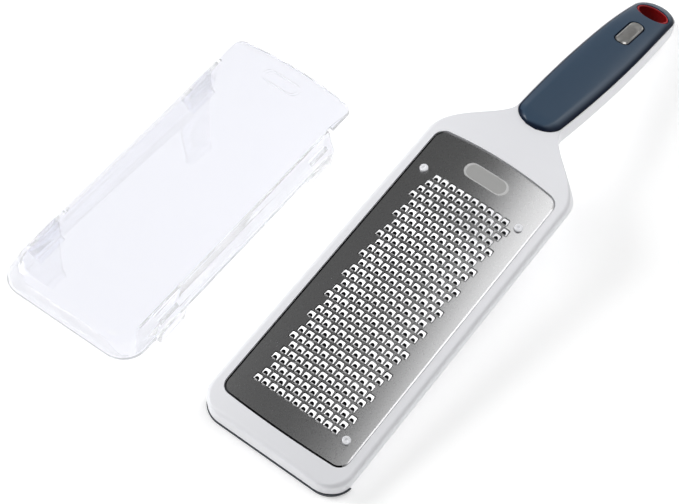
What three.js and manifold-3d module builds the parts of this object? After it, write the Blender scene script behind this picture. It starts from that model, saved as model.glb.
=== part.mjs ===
// A hand-held fine grater and the clear cover that has been taken off it, in millimetres with +Z up.
// The grater is drawn in its blade's frame: X across, Y from the nose to the handle, Z = 0 at the
// crown of the plate. It then leans on its nose foot and the end of its handle, as it lies on a table.

import * as THREE from 'three';
import { mergeVertices } from 'three/addons/utils/BufferGeometryUtils.js';
import Module from 'manifold-3d';

const wasm = await Module();
wasm.setup();

// Gap between pieces that seat in, on or through each other
const CLEARANCE = 0.3;

// Steel plate: length at its middle, where the bowed ends stand furthest apart
const PLATE_LENGTH = 165.6;
const PLATE_WIDTH = 65.3;
const PLATE_THICKNESS = 0.5;
const PLATE_CORNER = 5.5;
const PLATE_END_BOW = 1.2;
const ARCH_RADIUS = 230;

// Teeth: each is a tongue in a U-shaped slot, with its tip raised and pointing to the handle
const TOOTH_PITCH = 4.15;
const ROW_PITCH = 4.2;
const TEETH_FAR_INSET = 24.8;
const TEETH_NEAR_INSET = 14.5;
const TEETH_SIDE_INSET = 8;
const SLOT_WIDTH = 3.6;
const SLOT_AHEAD = 1.8;
const SLOT_BEHIND = 1.9;
const SLOT_HEEL_WIDTH = 3.4;
const TONGUE_WIDTH = 1.6;
const TOOTH_RISE = 0.8;
const SLOT_MARGIN = 0.05;
const ROW_SHIFTS = [-1 / 3, 1 / 3, 0];
const TEETH_PER_BLOCK = 3;

// Stakes that hold the plate down, measured in from the plate's edges
const STAKE_SIDE_INSET = 6.75;
const STAKE_FAR_INSET = 23.8;
const STAKE_NEAR_INSET = 13.65;
const STAKE_HEAD_WIDTH = 4;
const STAKE_HEAD_HEIGHT = 0.9;
const STAKE_DIMPLE_WIDTH = 1.6;
const STAKE_DIMPLE_DEPTH = 0.5;
const STAKE_SHANK_WIDTH = 2.4;
const STAKE_SHANK_LENGTH = 4.5;
const TOOTH_FREE_RADIUS = 5;

// Frame round the plate
const RIM_WIDTH = 5.35;
const RIM_RISE = 0.4;
const RIM_FILLET = 1.8;
const NOSE_RIM = 9.3;
const NOSE_CORNER = 12;
const NOSE_FILLET = 1.5;
const FRAME_DEPTH = 11.4;
const WALL_DRAFT = 0.4;
const BASE_FILLET = 0.8;

// Ledge under the plate and the hollow below it
const LEDGE_SIDE = 3;
const LEDGE_NEAR = 5.5;
const LEDGE_FAR = 19.6;
const LEDGE_CORNER = 5;
const LEDGE_BASE_DEPTH = 6.4;
const FRAME_WALL = 4.6;
const HOLLOW_FAR_WALL = 1.5;
const HOLLOW_CORNER = 8;
const BOSS_WIDTH = 7;
const BOSS_DEPTH = 8;
const BOSS_WEB = 5;

// Shoulders and neck: the top narrows first and the base follows it later
const SHOULDER_LEAD = 3.6;
const NECK_LENGTH = 36;
const BASE_LAG = 5;
const BEND_FROM_PLATE = 20.8;
const BEND_TANGENT = 15;
const BEND_ANGLE = THREE.MathUtils.degToRad(19.9);

// Handle body under the grip, along the handle from where the grip's straight edges begin
const HANDLE_FROM_BEND = 8.1;
const HANDLE_DEPTH = 14;
const HANDLE_SWELL = 0.8;
const HANDLE_FILLET = 11;
const HANDLE_LIP = 0.9;
const HANDLE_LIP_FILLET = 0.4;
const HANDLE_END_ROUND = 9;
const HANDLE_END_DEPTH = 7.5;
const HANDLE_END_DROP = 1;
const HANDLE_DROOP_AT = 85;
const HANDLE_DROOP_RADIUS = 240;

// Soft grip let into the top of the handle
const GRIP_NEAR_END = 4.8;
const GRIP_FAR_END = 127.2;
const GRIP_NECK_WIDTH = 22;
const GRIP_BELLY_WIDTH = 26;
const GRIP_TAIL_WIDTH = 21.4;
const GRIP_BELLY_AT = 58;
const GRIP_TAIL_AT = 115.6;
const GRIP_NEAR_ROUND = 9;
const GRIP_FAR_ROUND = 12;
const GRIP_CROWN = 2.2;
const GRIP_CROWN_FLATNESS = 2.6;
const GRIP_EDGE_ROUNDNESS = 0.45;
const GRIP_SEAT = 3;

// Badge and lined hang hole near the end of the handle
const BADGE_AT = 89;
const BADGE_LENGTH = 20.5;
const BADGE_WIDTH = 7;
const BADGE_THICKNESS = 1.4;
const BADGE_PROUD = 0.3;
const HOLE_AT = 114.3;
const HOLE_WIDTH = 17;
const HOLE_LENGTH = 12.8;
const RING_WALL = 1.1;
const RING_TOP = 1.5;
const RING_BASE = 10.5;

// Soft foot round the bottom of the nose
const FOOT_PROUD = 0.8;
const FOOT_RISE = 2;
const FOOT_DEPTH = 2;
const FOOT_OUTSET = 0.2;
const FOOT_WING = 3;

// Clear cover, drawn about the middle of its own length with Z = 0 on the table
const COVER_LENGTH = 172.8;
const COVER_TOP_WIDTH = 65.8;
const COVER_BASE_WIDTH = 74.4;
const COVER_HEIGHT = 24;
const COVER_WALL_BASE = 12.4;
const COVER_WALL = 1.6;
const COVER_NEAR_SWEEP = 5;
const COVER_NEAR_CORNER = 12;
const COVER_FAR_CORNER = 5;
const COVER_FAR_BOW = 2;
const COVER_OVERHANG = 20.7;
const CLIP_LENGTH = 20.5;
const CLIP_TIP_LENGTH = 16.5;
const CLIP_SPACING = 111;
const CLIP_LEAN = 1.2;
const CLIP_ROOT = 0.8;
const CLIP_HOOK = 2;
const CLIP_HOOK_EDGE = 1;
const CLIP_HOOK_HEIGHT = 3;
const CLIP_SLOT_LENGTH = 12.5;
const CLIP_SLOT_HEIGHT = 1.4;
const CLIP_SLOT_RISE = 4;
const NOTCH_LENGTH = 2.5;
const NOTCH_DEPTH = 1.5;
const NOTCH_HEIGHT = 2.6;

// Where the cover stands: the clear space beside the frame, how far it reaches past the nose, its turn
const COVER_SIDE_GAP = 31.4;
const COVER_PAST_NOSE = 9.8;
const COVER_TURN = THREE.MathUtils.degToRad(0.8);

// How finely round stretches are divided
const ARC_STEPS = 6;
const ROUND_STEPS = 24;
const TOP_STEPS = 8;
const CROWN_STEPS = 14;
const NECK_STEPS = 12;
const HANDLE_STEPS = 8;
const FIRST_END_ANGLE = THREE.MathUtils.degToRad(12);

// Past every face of what is cut
const BEYOND = 30;

// Points nearer than this are one point, and a fillet takes at most this share of a side
const MERGE_DISTANCE = 1e-4;
const FILLET_SHARE = 0.49;

// Places that follow from the sizes above
const PLATE_HALF = PLATE_WIDTH / 2;
const PLATE_FAR = PLATE_LENGTH / 2;
const PLATE_NEAR = -PLATE_FAR;
const ROW_COUNT = 1 + Math.floor((PLATE_LENGTH - TEETH_FAR_INSET - TEETH_NEAR_INSET) / ROW_PITCH);
const ROW_SWAY = Math.max(...ROW_SHIFTS) - Math.min(...ROW_SHIFTS);
const TEETH_PER_ROW = Math.floor((PLATE_WIDTH - 2 * TEETH_SIDE_INSET) / TOOTH_PITCH - ROW_SWAY);
const FRAME_HALF = PLATE_HALF + RIM_WIDTH;
const NOSE_Y = PLATE_NEAR - NOSE_RIM;
const FRAME_BASE = -FRAME_DEPTH;
const BEND_RADIUS = BEND_TANGENT / Math.tan(BEND_ANGLE / 2);
const BEND_START = PLATE_FAR + BEND_FROM_PLATE - BEND_TANGENT;
const BEND_ARC = BEND_RADIUS * BEND_ANGLE;
const HANDLE_START = BEND_START + BEND_ARC - BEND_TANGENT + HANDLE_FROM_BEND;
const HANDLE_END = GRIP_FAR_END + HANDLE_LIP;
const SHOULDER_START = PLATE_FAR - SHOULDER_LEAD;
const BADGE_TOP = GRIP_CROWN + BADGE_PROUD;
const FOOT_BASE = FRAME_BASE - FOOT_PROUD;
const FOOT_TOP = FRAME_BASE + FOOT_RISE;
const FOOT_NOSE = NOSE_Y - FOOT_OUTSET;
const FOOT_WING_END = NOSE_Y + NOSE_CORNER + FOOT_WING;

// Closed triangles as a solid, with its faces turned outward
function solidFrom(positions, indices) {
  const corners = [new THREE.Vector3(), new THREE.Vector3(), new THREE.Vector3()];
  let volume = 0;
  for (let k = 0; k < indices.length; k += 3) {
    corners.forEach((corner, n) => corner.fromArray(positions, 3 * indices[k + n]));
    volume += corners[0].dot(corners[1].clone().cross(corners[2]));
  }
  const triangles = Uint32Array.from(indices);
  if (volume < 0) triangles.reverse();
  const mesh = { numProp: 3, vertProperties: Float32Array.from(positions), triVerts: triangles };
  return new wasm.Manifold(new wasm.Mesh(mesh));
}

function solid(geometry) {
  geometry.deleteAttribute('normal');
  geometry.deleteAttribute('uv');
  const merged = mergeVertices(geometry, MERGE_DISTANCE);
  return solidFrom(merged.attributes.position.array, merged.index.array);
}

function geometryOf(body) {
  const mesh = body.getMesh();
  const geometry = new THREE.BufferGeometry();
  geometry.setAttribute('position', new THREE.Float32BufferAttribute(mesh.vertProperties, 3));
  geometry.setIndex(Array.from(mesh.triVerts));
  geometry.computeVertexNormals();
  return geometry;
}

function prism(shape, low, high, steps = ARC_STEPS) {
  const options = { depth: high - low, bevelEnabled: false, curveSegments: steps };
  return new THREE.ExtrudeGeometry(shape, options).translate(0, 0, low);
}

function box(low, high) {
  const size = high.clone().sub(low);
  const middle = low.clone().add(high).multiplyScalar(0.5);
  return new THREE.BoxGeometry(size.x, size.y, size.z).translate(middle.x, middle.y, middle.z);
}

// Solid through a row of rings that all have as many points, closed by a fan at each end
function loft(rings) {
  const count = rings[0].length;
  const ends = [rings[0], rings.at(-1)].map((ring) => middleOf(ring));
  const points = [...rings.flat(), ...ends];
  const indices = [];
  for (let k = 0; k < count; k += 1) {
    const next = (k + 1) % count;
    for (let r = 0; r < rings.length - 1; r += 1) {
      const here = r * count;
      const there = here + count;
      indices.push(here + k, here + next, there + next, here + k, there + next, there + k);
    }
    const last = (rings.length - 1) * count;
    indices.push(next, k, rings.length * count, last + k, last + next, rings.length * count + 1);
  }
  return solidFrom(points.flatMap((point) => point.toArray()), indices);
}

function middleOf(ring) {
  const sum = new THREE.Vector3();
  ring.forEach((point) => sum.add(point));
  return sum.divideScalar(ring.length);
}

// Rectangle with rounded corners and, where asked, ends that bow outward
function panelShape({ half, near, far, nearCorner, farCorner, nearBow = 0, farBow = 0 }) {
  const shape = new THREE.Shape();
  shape.moveTo(-half + nearCorner, near);
  shape.quadraticCurveTo(0, near - 2 * nearBow, half - nearCorner, near);
  shape.absarc(half - nearCorner, near + nearCorner, nearCorner, -Math.PI / 2, 0);
  shape.lineTo(half, far - farCorner);
  shape.absarc(half - farCorner, far - farCorner, farCorner, 0, Math.PI / 2);
  shape.quadraticCurveTo(0, far + 2 * farBow, -half + farCorner, far);
  shape.absarc(-half + farCorner, far - farCorner, farCorner, Math.PI / 2, Math.PI);
  shape.lineTo(-half, near + nearCorner);
  shape.absarc(-half + nearCorner, near + nearCorner, nearCorner, Math.PI, 1.5 * Math.PI);
  return shape;
}

// Points round a shape, none of them twice
function outlinePoints(shape) {
  const points = shape.getPoints(ARC_STEPS);
  return points.filter((point, k) => point.distanceTo(points.at(k - 1)) > MERGE_DISTANCE);
}

function ellipseShape(width, length) {
  const shape = new THREE.Shape();
  shape.absellipse(0, 0, width / 2, length / 2, 0, 2 * Math.PI);
  return shape;
}

function pillShape(width, length) {
  const radius = width / 2;
  const reach = length / 2 - radius;
  const shape = new THREE.Shape();
  shape.absarc(0, reach, radius, 0, Math.PI);
  shape.absarc(0, -reach, radius, Math.PI, 2 * Math.PI);
  return shape;
}

// Height of the plate's top face across its width
function arch(x) {
  return Math.sqrt(ARCH_RADIUS ** 2 - x ** 2) - ARCH_RADIUS;
}

function platePlan(grow) {
  const corner = PLATE_CORNER + grow;
  return panelShape({
    half: PLATE_HALF + grow,
    near: PLATE_NEAR + PLATE_END_BOW - grow,
    far: PLATE_FAR - PLATE_END_BOW + grow,
    nearCorner: corner,
    farCorner: corner,
    nearBow: PLATE_END_BOW,
    farBow: PLATE_END_BOW,
  });
}

const STAKES = [
  { name: 'stake_far_left', x: STAKE_SIDE_INSET - PLATE_HALF, y: PLATE_FAR - STAKE_FAR_INSET },
  { name: 'stake_far_right', x: PLATE_HALF - STAKE_SIDE_INSET, y: PLATE_FAR - STAKE_FAR_INSET },
  { name: 'stake_near_right', x: PLATE_HALF - STAKE_SIDE_INSET, y: PLATE_NEAR + STAKE_NEAR_INSET },
];

// Turns and moves a shape drawn about +Z so that it stands square on the arched plate at a stake
function stakePlace({ x, y }) {
  const tilt = Math.asin(x / ARCH_RADIUS);
  return new THREE.Matrix4().makeRotationY(tilt).setPosition(x, y, arch(x));
}

// Flat net of points and triangles that is thickened into the arched plate
class Sheet {
  points = [];
  triangles = [];

  add(x, y, rise = 0) {
    this.points.push({ x, y, rise });
    return this.points.length - 1;
  }

  // Fills the strip between two rows of points that run across the plate
  zip(near, far) {
    let a = 0;
    let b = 0;
    while (a < near.length - 1 || b < far.length - 1) {
      const nearX = a < near.length - 1 ? this.points[near[a + 1]].x : Infinity;
      const farX = b < far.length - 1 ? this.points[far[b + 1]].x : Infinity;
      if (nearX <= farX) {
        this.triangles.push([near[a], near[a + 1], far[b]]);
        a += 1;
      } else {
        this.triangles.push([near[a], far[b + 1], far[b]]);
        b += 1;
      }
    }
  }

  // Fills a four-sided block round the slots cut in it
  fill(outline, slots) {
    const place = (k) => new THREE.Vector2(this.points[k].x, this.points[k].y);
    const faces = THREE.ShapeUtils.triangulateShape(outline.map(place), slots.map((s) => s.map(place)));
    const indices = [...outline, ...slots.flat()];
    faces.forEach((face) => this.triangles.push(face.map((k) => indices[k])));
  }

  thicken(thickness) {
    const count = this.points.length;
    const top = this.points.flatMap(({ x, y, rise }) => [x, y, arch(x) + rise]);
    const base = this.points.flatMap(({ x, y, rise }) => [x, y, arch(x) + rise - thickness]);
    const edges = new Set(this.triangles.flatMap(([a, b, c]) => [`${a} ${b}`, `${b} ${c}`, `${c} ${a}`]));
    const indices = [];
    this.triangles.forEach(([a, b, c]) => indices.push(a, b, c, c + count, b + count, a + count));
    edges.forEach((edge) => {
      const [a, b] = edge.split(' ').map(Number);
      if (edges.has(`${b} ${a}`)) return;
      indices.push(b, a, a + count, b, a + count, b + count);
    });
    return solidFrom([...top, ...base], indices);
  }
}

function rowTip(row) {
  return PLATE_FAR - TEETH_FAR_INSET - row * ROW_PITCH;
}

function toothX(row, column) {
  return (ROW_SHIFTS[row % ROW_SHIFTS.length] + column - (TEETH_PER_ROW - 1) / 2) * TOOTH_PITCH;
}

function isFree(x, y) {
  return STAKES.every((stake) => Math.hypot(stake.x - x, stake.y - y) > TOOTH_FREE_RADIUS);
}

// U-shaped slot, drawn clockwise: its two inner points are the tongue's raised tip
function addSlot(sheet, x, y) {
  const heel = SLOT_HEEL_WIDTH / 2;
  const tongue = TONGUE_WIDTH / 2;
  const side = SLOT_WIDTH / 2;
  return [
    sheet.add(x - heel, y - SLOT_BEHIND),
    sheet.add(x - side, y + SLOT_AHEAD),
    sheet.add(x + side, y + SLOT_AHEAD),
    sheet.add(x + heel, y - SLOT_BEHIND),
    sheet.add(x + tongue, y, TOOTH_RISE),
    sheet.add(x - tongue, y, TOOTH_RISE),
  ];
}

// One row of teeth in blocks of a few teeth, with a plain block at each side
function addRow(sheet, row, reach) {
  const y = rowTip(row);
  const cuts = [-reach];
  for (let column = 0; column < TEETH_PER_ROW; column += TEETH_PER_BLOCK) {
    cuts.push(toothX(row, column - 0.5));
  }
  cuts.push(toothX(row, TEETH_PER_ROW - 0.5), reach);
  const near = cuts.map((x) => sheet.add(x, y - SLOT_BEHIND - SLOT_MARGIN));
  const far = cuts.map((x) => sheet.add(x, y + SLOT_AHEAD + SLOT_MARGIN));
  for (let k = 0; k < cuts.length - 1; k += 1) {
    const slots = [];
    for (let column = 0; column < TEETH_PER_ROW; column += 1) {
      const x = toothX(row, column);
      if (x > cuts[k] && x < cuts[k + 1] && isFree(x, y)) slots.push(addSlot(sheet, x, y));
    }
    sheet.fill([near[k], near[k + 1], far[k + 1], far[k]], slots);
  }
  return { near, far };
}

function endLine(sheet, y, reach) {
  const line = [];
  for (let k = 0; k <= ARC_STEPS; k += 1) line.push(sheet.add(reach * (2 * k / ARC_STEPS - 1), y));
  return line;
}

function plateSolid() {
  const sheet = new Sheet();
  const reach = PLATE_HALF + PLATE_CORNER;
  let line = endLine(sheet, PLATE_FAR + PLATE_CORNER, reach);
  for (let row = 0; row < ROW_COUNT; row += 1) {
    const { near, far } = addRow(sheet, row, reach);
    sheet.zip(far, line);
    line = near;
  }
  sheet.zip(endLine(sheet, PLATE_NEAR - PLATE_CORNER, reach), line);
  let plate = sheet.thicken(PLATE_THICKNESS).intersect(solid(prism(platePlan(0), -BEYOND, BEYOND)));
  STAKES.forEach((stake) => {
    plate = plate.subtract(stakeHole(stake));
  });
  return plate;
}

function stakeHole(stake) {
  const radius = STAKE_SHANK_WIDTH / 2 + CLEARANCE;
  const hole = new THREE.CylinderGeometry(radius, radius, BEYOND, ROUND_STEPS / 2);
  return solid(hole.rotateX(Math.PI / 2).applyMatrix4(stakePlace(stake)));
}

// Stake drawn about +Z with Z = 0 on the plate: shank, wide head and the dimple in its middle
function stakeGeometry() {
  const shank = STAKE_SHANK_WIDTH / 2;
  const head = STAKE_HEAD_WIDTH / 2;
  const dimple = STAKE_DIMPLE_WIDTH / 2;
  const top = CLEARANCE + STAKE_HEAD_HEIGHT;
  const profile = [
    new THREE.Vector2(0, -STAKE_SHANK_LENGTH),
    new THREE.Vector2(shank, -STAKE_SHANK_LENGTH),
    new THREE.Vector2(shank, CLEARANCE),
    new THREE.Vector2(head, CLEARANCE),
    new THREE.Vector2(head, CLEARANCE + STAKE_HEAD_HEIGHT / 2),
    new THREE.Vector2((head + dimple) / 2, top),
    new THREE.Vector2(dimple, top),
    new THREE.Vector2(0, top - STAKE_DIMPLE_DEPTH),
  ];
  return new THREE.LatheGeometry(profile, ROUND_STEPS / 2).rotateX(Math.PI / 2);
}

// Rounds one corner of an outline that runs anticlockwise
function filletCorner(before, corner, after, radius, steps) {
  const back = before.clone().sub(corner);
  const ahead = after.clone().sub(corner);
  const half = Math.abs(back.angleTo(ahead)) / 2;
  const limit = FILLET_SHARE * Math.min(back.length(), ahead.length());
  const reach = Math.min(radius / Math.tan(half), limit);
  const start = back.setLength(reach).add(corner);
  const end = ahead.setLength(reach).add(corner);
  const inward = start.clone().add(end).multiplyScalar(0.5).sub(corner);
  const centre = inward.setLength(reach / Math.cos(half)).add(corner);
  const points = [];
  for (let k = 0; k <= steps; k += 1) {
    points.push(start.clone().rotateAround(centre, (Math.PI - 2 * half) * (k / steps)));
  }
  return points;
}

// Cross-section of the body: flat base, leaning sides and an arched or flat top at height 0
function bodySection({ top, base, depth, drop = 0, topFillet, baseFillet, archShare }) {
  const corners = [[-base, -depth], [base, -depth], [top, -drop], [-top, -drop]];
  const points = corners.map(([x, y]) => new THREE.Vector2(x, y));
  const fillets = [baseFillet, baseFillet, topFillet, topFillet];
  const rounded = points.map((point, k) => {
    return filletCorner(points.at(k - 1), point, points[(k + 1) % points.length], fillets[k], ARC_STEPS);
  });
  const [right, left] = [rounded[2].at(-1), rounded[3][0]];
  const across = [];
  for (let k = 1; k < TOP_STEPS; k += 1) across.push(right.clone().lerp(left, k / TOP_STEPS));
  const outline = [...rounded[0], ...rounded[1], ...rounded[2], ...across, ...rounded[3]];
  return outline.map(({ x, y }) => {
    return new THREE.Vector2(x, y + archShare * arch(x) * (y + depth) / depth);
  });
}

// Line of the body's top from the nose, round the bend and down the handle
function spine(distance) {
  const turned = THREE.MathUtils.clamp((distance - BEND_START) / BEND_RADIUS, 0, BEND_ANGLE);
  const straight = Math.max(distance - BEND_START - BEND_ARC, 0);
  const y = Math.min(distance, BEND_START) + BEND_RADIUS * Math.sin(turned) + straight * Math.cos(turned);
  const fall = BEND_RADIUS * (1 - Math.cos(turned)) + straight * Math.sin(turned);
  return { y, z: RIM_RISE - fall, tilt: turned };
}

function standing(section, distance) {
  const { y, z, tilt } = spine(distance);
  return section.map((point) => {
    return new THREE.Vector3(point.x, y + point.y * Math.sin(tilt), z + point.y * Math.cos(tilt));
  });
}

// Share of the frame's width that is left at a distance along a shoulder
function shoulder(distance, start) {
  const part = THREE.MathUtils.clamp((distance - start) / NECK_LENGTH, 0, 1);
  return (1 + Math.cos(Math.PI * part)) / 2;
}

function gripHalf(along) {
  const belly = GRIP_BELLY_WIDTH / 2;
  if (along < GRIP_BELLY_AT) {
    const part = (GRIP_BELLY_AT - Math.max(along, 0)) / GRIP_BELLY_AT;
    return belly - (belly - GRIP_NECK_WIDTH / 2) * part ** 2;
  }
  const part = (along - GRIP_BELLY_AT) / (GRIP_TAIL_AT - GRIP_BELLY_AT);
  return belly - (belly - GRIP_TAIL_WIDTH / 2) * part ** 2;
}

function noseRing(angle) {
  const inset = NOSE_CORNER * (1 - Math.cos(angle));
  const half = FRAME_HALF - NOSE_CORNER * (1 - Math.sin(angle));
  const short = Math.max(NOSE_FILLET - inset, 0);
  const drop = NOSE_FILLET - Math.sqrt(NOSE_FILLET ** 2 - short ** 2);
  return standing(bodySection({
    top: half,
    base: half - WALL_DRAFT,
    depth: FRAME_DEPTH + RIM_RISE,
    drop,
    topFillet: RIM_FILLET,
    baseFillet: BASE_FILLET,
    archShare: 1,
  }), NOSE_Y + inset);
}

// How far the top of the handle has curved down at a place along it
function droop(along) {
  return Math.max(along - HANDLE_DROOP_AT, 0) ** 2 / (2 * HANDLE_DROOP_RADIUS);
}

// Ring of the shoulders, neck or handle at a distance along the spine
function neckRing(distance) {
  const along = distance - HANDLE_START;
  const handle = gripHalf(Math.min(along, GRIP_TAIL_AT)) + HANDLE_LIP;
  const topShare = shoulder(distance, SHOULDER_START);
  const baseShare = shoulder(distance, SHOULDER_START + BASE_LAG);
  const mix = THREE.MathUtils.lerp;
  return standing(bodySection({
    top: mix(handle, FRAME_HALF, topShare),
    base: mix(handle + HANDLE_SWELL, FRAME_HALF - WALL_DRAFT, baseShare),
    depth: mix(HANDLE_DEPTH, FRAME_DEPTH + RIM_RISE, baseShare),
    drop: droop(along),
    topFillet: mix(HANDLE_LIP_FILLET, RIM_FILLET, topShare),
    baseFillet: mix(HANDLE_FILLET, BASE_FILLET, baseShare),
    archShare: topShare,
  }), distance);
}

// Ring of the rounded end of the handle, at an angle round that end
function tailRing(angle) {
  const round = HANDLE_END - GRIP_TAIL_AT;
  const along = HANDLE_END - round * (1 - Math.cos(angle));
  const half = (GRIP_TAIL_WIDTH / 2 + HANDLE_LIP) * Math.sin(angle);
  const short = Math.max(1 - (HANDLE_END - along) / HANDLE_END_ROUND, 0);
  const full = Math.sqrt(1 - short ** 2);
  return standing(bodySection({
    top: half,
    base: half + HANDLE_SWELL * Math.sin(angle),
    depth: THREE.MathUtils.lerp(HANDLE_END_DEPTH, HANDLE_DEPTH, full),
    drop: HANDLE_END_DROP * (1 - full) + droop(along),
    topFillet: HANDLE_LIP_FILLET,
    baseFillet: HANDLE_FILLET,
    archShare: 0,
  }), HANDLE_START + along);
}

function bodyBlank() {
  const rings = [];
  const step = Math.PI / 2 / ARC_STEPS;
  for (let k = 0; k <= ARC_STEPS; k += 1) rings.push(noseRing(k * step));
  const neckEnd = SHOULDER_START + BASE_LAG + NECK_LENGTH;
  for (let k = 0; k <= NECK_STEPS; k += 1) {
    rings.push(neckRing(THREE.MathUtils.lerp(SHOULDER_START, neckEnd, k / NECK_STEPS)));
  }
  const tail = HANDLE_START + GRIP_TAIL_AT;
  for (let k = 1; k < HANDLE_STEPS; k += 1) {
    rings.push(neckRing(THREE.MathUtils.lerp(neckEnd, tail, k / HANDLE_STEPS)));
  }
  for (let k = ARC_STEPS; k >= 0; k -= 1) {
    rings.push(tailRing(THREE.MathUtils.lerp(FIRST_END_ANGLE, Math.PI / 2, k / ARC_STEPS)));
  }
  return loft(rings);
}

// Space above the ledge that the plate lies in, with a floor that follows the arch
function plateSeat() {
  const floor = new THREE.Shape();
  const reach = FRAME_HALF;
  floor.moveTo(reach, BEYOND);
  floor.lineTo(-reach, BEYOND);
  for (let k = 0; k <= 2 * TOP_STEPS; k += 1) {
    const x = reach * (k / TOP_STEPS - 1);
    floor.lineTo(x, arch(x) - PLATE_THICKNESS - CLEARANCE);
  }
  const slab = prism(floor, PLATE_NEAR - BEYOND, PLATE_FAR + BEYOND).rotateX(Math.PI / 2);
  const turned = solid(slab.rotateZ(Math.PI));
  return turned.intersect(solid(prism(platePlan(CLEARANCE), -BEYOND, BEYOND)));
}

// Window through the ledge and the wider hollow below it, less the bosses that take the stakes
function frameHollow() {
  const ledge = { nearCorner: LEDGE_CORNER, farCorner: LEDGE_CORNER };
  const near = PLATE_NEAR + LEDGE_NEAR;
  const far = PLATE_FAR - LEDGE_FAR;
  const window = panelShape({ half: PLATE_HALF - LEDGE_SIDE, near, far, ...ledge });
  const hollow = panelShape({
    half: FRAME_HALF - FRAME_WALL,
    near: NOSE_Y + FRAME_WALL,
    far: PLATE_FAR - HOLLOW_FAR_WALL,
    nearCorner: HOLLOW_CORNER,
    farCorner: HOLLOW_CORNER,
  });
  let space = solid(prism(window, -BEYOND, BEYOND));
  space = space.add(solid(prism(hollow, -BEYOND, -LEDGE_BASE_DEPTH)));
  STAKES.forEach(({ x, y }) => {
    const boss = new THREE.CylinderGeometry(BOSS_WIDTH / 2, BOSS_WIDTH / 2, 2 * BOSS_DEPTH, ROUND_STEPS);
    const wall = Math.sign(x) * FRAME_HALF;
    const low = new THREE.Vector3(Math.min(x, wall), y - BOSS_WEB / 2, -BOSS_DEPTH);
    const high = new THREE.Vector3(Math.max(x, wall), y + BOSS_WEB / 2, BOSS_DEPTH);
    space = space.subtract(solid(boss.rotateX(Math.PI / 2).translate(x, y, 0)));
    space = space.subtract(solid(box(low, high)));
  });
  return space;
}

function nosePlan(offset, far) {
  return panelShape({
    half: FRAME_HALF + offset,
    near: NOSE_Y - offset,
    far,
    nearCorner: NOSE_CORNER + offset,
    farCorner: CLEARANCE,
  });
}

// Band round the nose, from a given depth inside its outline to a given reach outside it
function noseBand(depth, reach, far, low, high) {
  const outer = solid(prism(nosePlan(reach, far), low, high));
  return outer.subtract(solid(prism(nosePlan(-depth, far + BEYOND), low - BEYOND, high + BEYOND)));
}

function footSolid() {
  return noseBand(FOOT_DEPTH, FOOT_OUTSET, FOOT_WING_END, FOOT_BASE, FOOT_TOP);
}

function footGroove() {
  const far = FOOT_WING_END + CLEARANCE;
  return noseBand(FOOT_DEPTH + CLEARANCE, BEYOND, far, FOOT_BASE - BEYOND, FOOT_TOP + CLEARANCE);
}

// Frame of the handle: X across, Y along it from where the grip's straight edges begin, Z out of it
function handlePlace() {
  const corner = spine(BEND_START + BEND_ARC);
  const back = BEND_TANGENT - HANDLE_FROM_BEND;
  const y = corner.y - back * Math.cos(BEND_ANGLE);
  const z = corner.z + back * Math.sin(BEND_ANGLE);
  return new THREE.Matrix4().makeRotationX(-BEND_ANGLE).setPosition(0, y, z);
}

// Places along the grip with the share of its width and height that is left there
function gripStations() {
  const stations = [];
  const turn = Math.PI / 2 - FIRST_END_ANGLE;
  for (let k = 0; k <= ARC_STEPS; k += 1) {
    const angle = FIRST_END_ANGLE + turn * (k / ARC_STEPS);
    const along = GRIP_NEAR_ROUND * (1 - Math.cos(angle)) - GRIP_NEAR_END;
    stations.push({ along, share: Math.sin(angle) });
  }
  const first = GRIP_NEAR_ROUND - GRIP_NEAR_END;
  const last = GRIP_FAR_END - GRIP_FAR_ROUND;
  for (let k = 1; k < HANDLE_STEPS; k += 1) {
    stations.push({ along: THREE.MathUtils.lerp(first, last, k / HANDLE_STEPS), share: 1 });
  }
  for (let k = ARC_STEPS; k >= 0; k -= 1) {
    const angle = FIRST_END_ANGLE + turn * (k / ARC_STEPS);
    const along = GRIP_FAR_END - GRIP_FAR_ROUND * (1 - Math.cos(angle));
    stations.push({ along, share: Math.sin(angle) });
  }
  return stations;
}

function gripWidthAt({ along, share }) {
  return gripHalf(Math.min(along, GRIP_TAIL_AT)) * share;
}

// Pillow-shaped section: square below, rounded over the top
function gripRing(station) {
  const half = gripWidthAt(station);
  const base = -droop(station.along);
  const ring = [new THREE.Vector3(-half, station.along, base - GRIP_SEAT)];
  ring.push(new THREE.Vector3(half, station.along, base - GRIP_SEAT));
  for (let k = 0; k <= CROWN_STEPS; k += 1) {
    const side = Math.cos(Math.PI * k / CROWN_STEPS);
    const crown = (1 - Math.abs(side) ** GRIP_CROWN_FLATNESS) ** GRIP_EDGE_ROUNDNESS;
    ring.push(new THREE.Vector3(half * side, station.along, base + GRIP_CROWN * station.share * crown));
  }
  return ring;
}

function gripSolid() {
  const grip = loft(gripStations().map(gripRing));
  const badge = pillShape(BADGE_WIDTH + 2 * CLEARANCE, BADGE_LENGTH + 2 * CLEARANCE);
  const badgeSeat = BADGE_TOP - BADGE_THICKNESS - CLEARANCE;
  const recess = onHandle(prism(badge, badgeSeat, BEYOND, ROUND_STEPS / 2), BADGE_AT);
  return grip.subtract(solid(recess)).subtract(hangHole());
}

// Recess in the body that takes the grip
function gripRecess() {
  const stations = gripStations();
  return loft(stations.map((station, k) => {
    const past = (k === stations.length - 1) - (k === 0);
    const along = station.along + past * CLEARANCE;
    const half = gripWidthAt(station) + CLEARANCE;
    const floor = -droop(station.along) - GRIP_SEAT - CLEARANCE;
    const corners = [[-half, floor], [half, floor], [half, BEYOND], [-half, BEYOND]];
    return corners.map(([x, z]) => new THREE.Vector3(x, along, z));
  }));
}

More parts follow.
